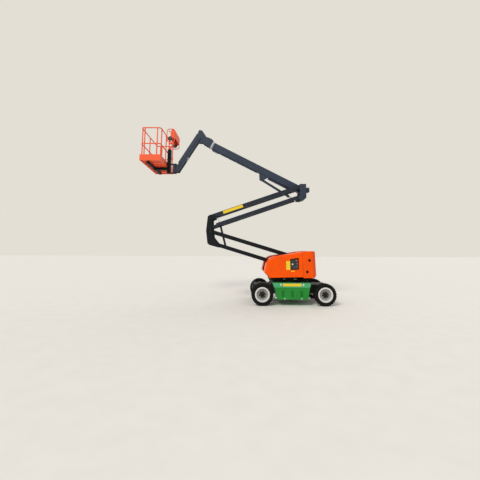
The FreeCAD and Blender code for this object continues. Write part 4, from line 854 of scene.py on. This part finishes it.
# Satin boom paint: a dark grey tinted blue as painted sky reflection, that also picks up the sky
# along its upper edges.
sky_tinted_boom_paint = paint("slate_grey_boom_paint_with_painted_sky_tint", "#303a48", 0.06, 0.4, mirror=0.25)
dress(sky_tinted_boom_paint, "boom_upright", "main_boom", "lift_cylinder_barrel", "fly_head", "jib_mount",
      "jib_arm", "jib_link", "jib_cylinder_barrel", "jib_end")

# Enamel on the sliding section is a clean white with a fine gloss.
fly_white = paint("white_fly_section_enamel", "#dfe1e2", 0.06, 0.3)
dress(fly_white, "fly_boom")
boom_place = lean(BOOM_PIN, BOOM_ANGLE)
assemble("fly_sleeve", [
    block((SLEEVE_START, near, low), (SLEEVE_END, far, high), 0.002)
    for near, far, low, high in (
        (-SLEEVE_SIDE, SLEEVE_SIDE, 0.125, 0.1440), (-SLEEVE_SIDE, SLEEVE_SIDE, -0.1200, -0.101),
        (SLEEVE_WALL, SLEEVE_SIDE, -0.115, 0.139), (-SLEEVE_SIDE, -SLEEVE_WALL, -0.115, 0.139))
], fly_white, "fly", boom_place)
assemble("tray_clamps", [
    block((along - CLAMP_HALF, -0.044, -0.158), (along + CLAMP_HALF, 0.044, -0.151), 0.002)
    for along in CLAMPS
], zinc, "main_boom", boom_place)
inner, outer = PAD_SIDES
assemble("nylon_wear_pads", [
    block((PAD_START, sign * inner, z - PAD_HALF), (PAD_END, sign * outer, z + PAD_HALF), 0.001)
    for sign in (-1, 1) for z in PAD_MIDDLES
], white_cap, "main_boom", boom_place)

# Jib and its mount: plates and box arms welded from steel in the boom's paint, hung on greased
# pins. A bolt in each end of a pin keeps it in its bracket.
JIB_BOLT = (0.0075, 0.007)
JIB_PINS = {
    # body: X, Z and distance of the pin's end face from the middle
    "jib_mount": ((1.170, 5.833, 0.098), (1.371, 5.937, 0.104)),
    "jib_end": ((2.137, 4.893, 0.070), (2.137, 4.671, 0.104)),
}
for side, sign in SIDES:
    for body, pins in JIB_PINS.items():
        bolts(f"pin_bolts_{body}_{side}", [(x, sign * (end + 0.001), z) for x, z, end in pins],
              side, JIB_BOLT, black_oxide, body)

# Platform: welded tube and plate sprayed orange. The rails sit in the toe boards' corners, and the
# floor is pressed tread plate with raised bars that turn by turns. One post carries a white
# harness anchor, screwed on.
TURN_X, TURN_Z = 2.289, 4.893
FLOOR_TOP = TURN_Z - 0.041
FLOOR_MIDDLE = TURN_X + 0.6425
TREAD_BAR = (0.026, 0.0065, 0.0022)
POST_Y = 0.896
ANCHOR_X, ANCHOR_Z = 2.646, 5.12

# Gloss paint on thin tube is a lighter, pinker orange than the covers', with small highlights.
platform_orange = paint("gloss_orange_platform_paint", "#f2633a", 0.04, 0.34, mirror=0.15)
dress(platform_orange, "front_rails", "rear_rails", "left_rails", "right_rails", "platform_gate",
      "platform_floor")
# The platform support takes the near-black copy of the dark paint, as painted shade.
dress(shade_darkened_structure_paint, "platform_support")

# Rotationally moulded polyethylene has a coarser skin and a duller orange than the tubes.
console_cover = paint("orange_polyethylene_console_cover", "#ee6038", 0.03, 0.45, peel=0.001,
                      mirror=0.15)
dress(console_cover, "control_console")

tread_tree, given, made = new_tree("tread_plate_bars", (
    ("Long", "NodeSocketFloat", 0.7), ("Wide", "NodeSocketFloat", 1.7),
    ("Along", "NodeSocketInt", 20), ("Across", "NodeSocketInt", 44),
    ("Bar", "NodeSocketVector", TREAD_BAR), ("Material", "NodeSocketMaterial", None),
))
bar = add(tread_tree, "GeometryNodeMeshCube", {"Size": given.outputs["Bar"]})
net = add(tread_tree, "GeometryNodeMeshGrid", {
    "Size X": given.outputs["Long"], "Size Y": given.outputs["Wide"],
    "Vertices X": given.outputs["Along"], "Vertices Y": given.outputs["Across"]})
count = add(tread_tree, "GeometryNodeInputIndex")
row = add(tread_tree, "ShaderNodeMath", {0: count.outputs[0], 1: given.outputs["Across"]},
          operation="DIVIDE")
row_number = add(tread_tree, "ShaderNodeMath", {0: row.outputs[0]}, operation="FLOOR")
sum_of_both = add(tread_tree, "ShaderNodeMath", {0: row_number.outputs[0], 1: count.outputs[0]},
                  operation="ADD")
odd = add(tread_tree, "ShaderNodeMath", {0: sum_of_both.outputs[0], 1: 2.0}, operation="MODULO")
swing = add(tread_tree, "ShaderNodeMath", {0: odd.outputs[0], 1: math.pi / 2, 2: math.pi / 4},
            operation="MULTIPLY_ADD")
turn_bar = add(tread_tree, "ShaderNodeCombineXYZ", {"Z": swing.outputs[0]})
laid = add(tread_tree, "GeometryNodeInstanceOnPoints", {
    "Points": net.outputs["Mesh"], "Instance": bar.outputs["Mesh"],
    "Rotation": turn_bar.outputs[0]})
end_tree(tread_tree, given, made, laid.outputs[0])
tread = grow([], tread_tree, {"Long": 0.585, "Wide": 1.69, "Along": 19, "Across": 53,
                              "Bar": TREAD_BAR, "Material": platform_orange})
tread.transform(Matrix.Translation((FLOOR_MIDDLE, 0.0, FLOOR_TOP + 0.0005)))
finish_piece("floor_tread_bars", tread, None, "platform")
anchor_plate = block((ANCHOR_X - 0.024, POST_Y - 0.004, ANCHOR_Z - 0.024),
                     (ANCHOR_X + 0.058, POST_Y + 0.003, ANCHOR_Z + 0.024), 0.002)
anchor_cap = rod((ANCHOR_X, POST_Y, ANCHOR_Z), (ANCHOR_X, POST_Y + 0.016, ANCHOR_Z), 0.027, 28)
assemble("harness_anchor", [anchor_plate, anchor_cap], white_cap, "platform")

# Console controls: a sloped black deck on the orange cover, with a joystick in a rubber gaiter at
# each side, rows of switches, a stop button and a round lamp on each end of the cover.
DECK_UP = Vector((-0.371, 0.0, 0.929))
DECK_OUT = Vector((0.929, 0.0, 0.371))
DECK_PLACE = Matrix((
    (0.0, DECK_UP.x, DECK_OUT.x, TURN_X + 0.088),
    (1.0, 0.0, 0.0, 0.0),
    (0.0, DECK_UP.z, DECK_OUT.z, TURN_Z + 1.220),
    (0.0, 0.0, 0.0, 1.0),
))
STICK_UP = -0.012
STICKS = (-0.24, 0.24)
GAITER_RADII = (0.036, 0.031, 0.026, 0.021, 0.016)
GAITER_STEP = 0.008
LAMP_X, LAMP_Z = TURN_X + 0.118, TURN_Z + 0.918


def stud(y, up, start, reach, radius, sides):
    """A round part that stands straight out of the deck, in the deck's own frame."""
    return rod((y, up, start), (y, up, reach), radius, sides)


deck_spots = [(-0.15 + 0.04 * column, row) for column in range(8) for row in (-0.036, 0.004)
              if not 2 < column < 5]
DECK_PIECES = (
    ("console_deck", panel_black,
     [block((-0.335, -0.054, -0.002), (0.335, 0.034, 0.004), 0.0015)]),
    ("joystick_gaiters", rubber,
     [stud(y, STICK_UP, 0.002 + GAITER_STEP * fold, 0.011 + GAITER_STEP * fold, wide, 24)
      for y in STICKS for fold, wide in enumerate(GAITER_RADII)]),
    ("joystick_sticks", zinc, [stud(y, STICK_UP, 0.04, 0.085, 0.006, 16) for y in STICKS]),
    ("joystick_grips", panel_black, [stud(y, STICK_UP, 0.078, 0.125, 0.014, 20) for y in STICKS]),
    ("console_switch_bases", grey_cap,
     [stud(y, up, 0.002, 0.009, 0.011, 14) for y, up in deck_spots]),
    ("console_toggles", zinc,
     [rod((y, up, 0.006), (y, up + 0.008, 0.022), 0.0035, 8) for y, up in deck_spots]),
    ("console_stop_plate", stop_yellow, [stud(-0.01, -0.014, 0.003, 0.008, 0.03, 28)]),
    ("console_stop_button", stop_red, [stud(-0.01, -0.014, 0.006, 0.02, 0.012, 18),
                                       stud(-0.01, -0.014, 0.018, 0.026, 0.02, 24)]),
)
for name, material, shapes in DECK_PIECES:
    assemble(name, shapes, material, "platform", DECK_PLACE)
for side, sign in SIDES:
    bracket = block((TURN_X + 0.052, sign * 0.3595, TURN_Z + 0.872),
                    (TURN_X + 0.150, sign * 0.364, TURN_Z + 0.962), 0.0015)
    assemble("lamp_bracket_" + side, [bracket], shade_darkened_structure_paint, "platform")
    assemble("console_end_lamp_" + side, [
        rod((LAMP_X, sign * 0.352, LAMP_Z), (LAMP_X, sign * 0.385, LAMP_Z), 0.080, 36),
        rod((LAMP_X, sign * 0.38, LAMP_Z), (LAMP_X, sign * 0.392, LAMP_Z), 0.064, 36),
    ], panel_black, "platform")
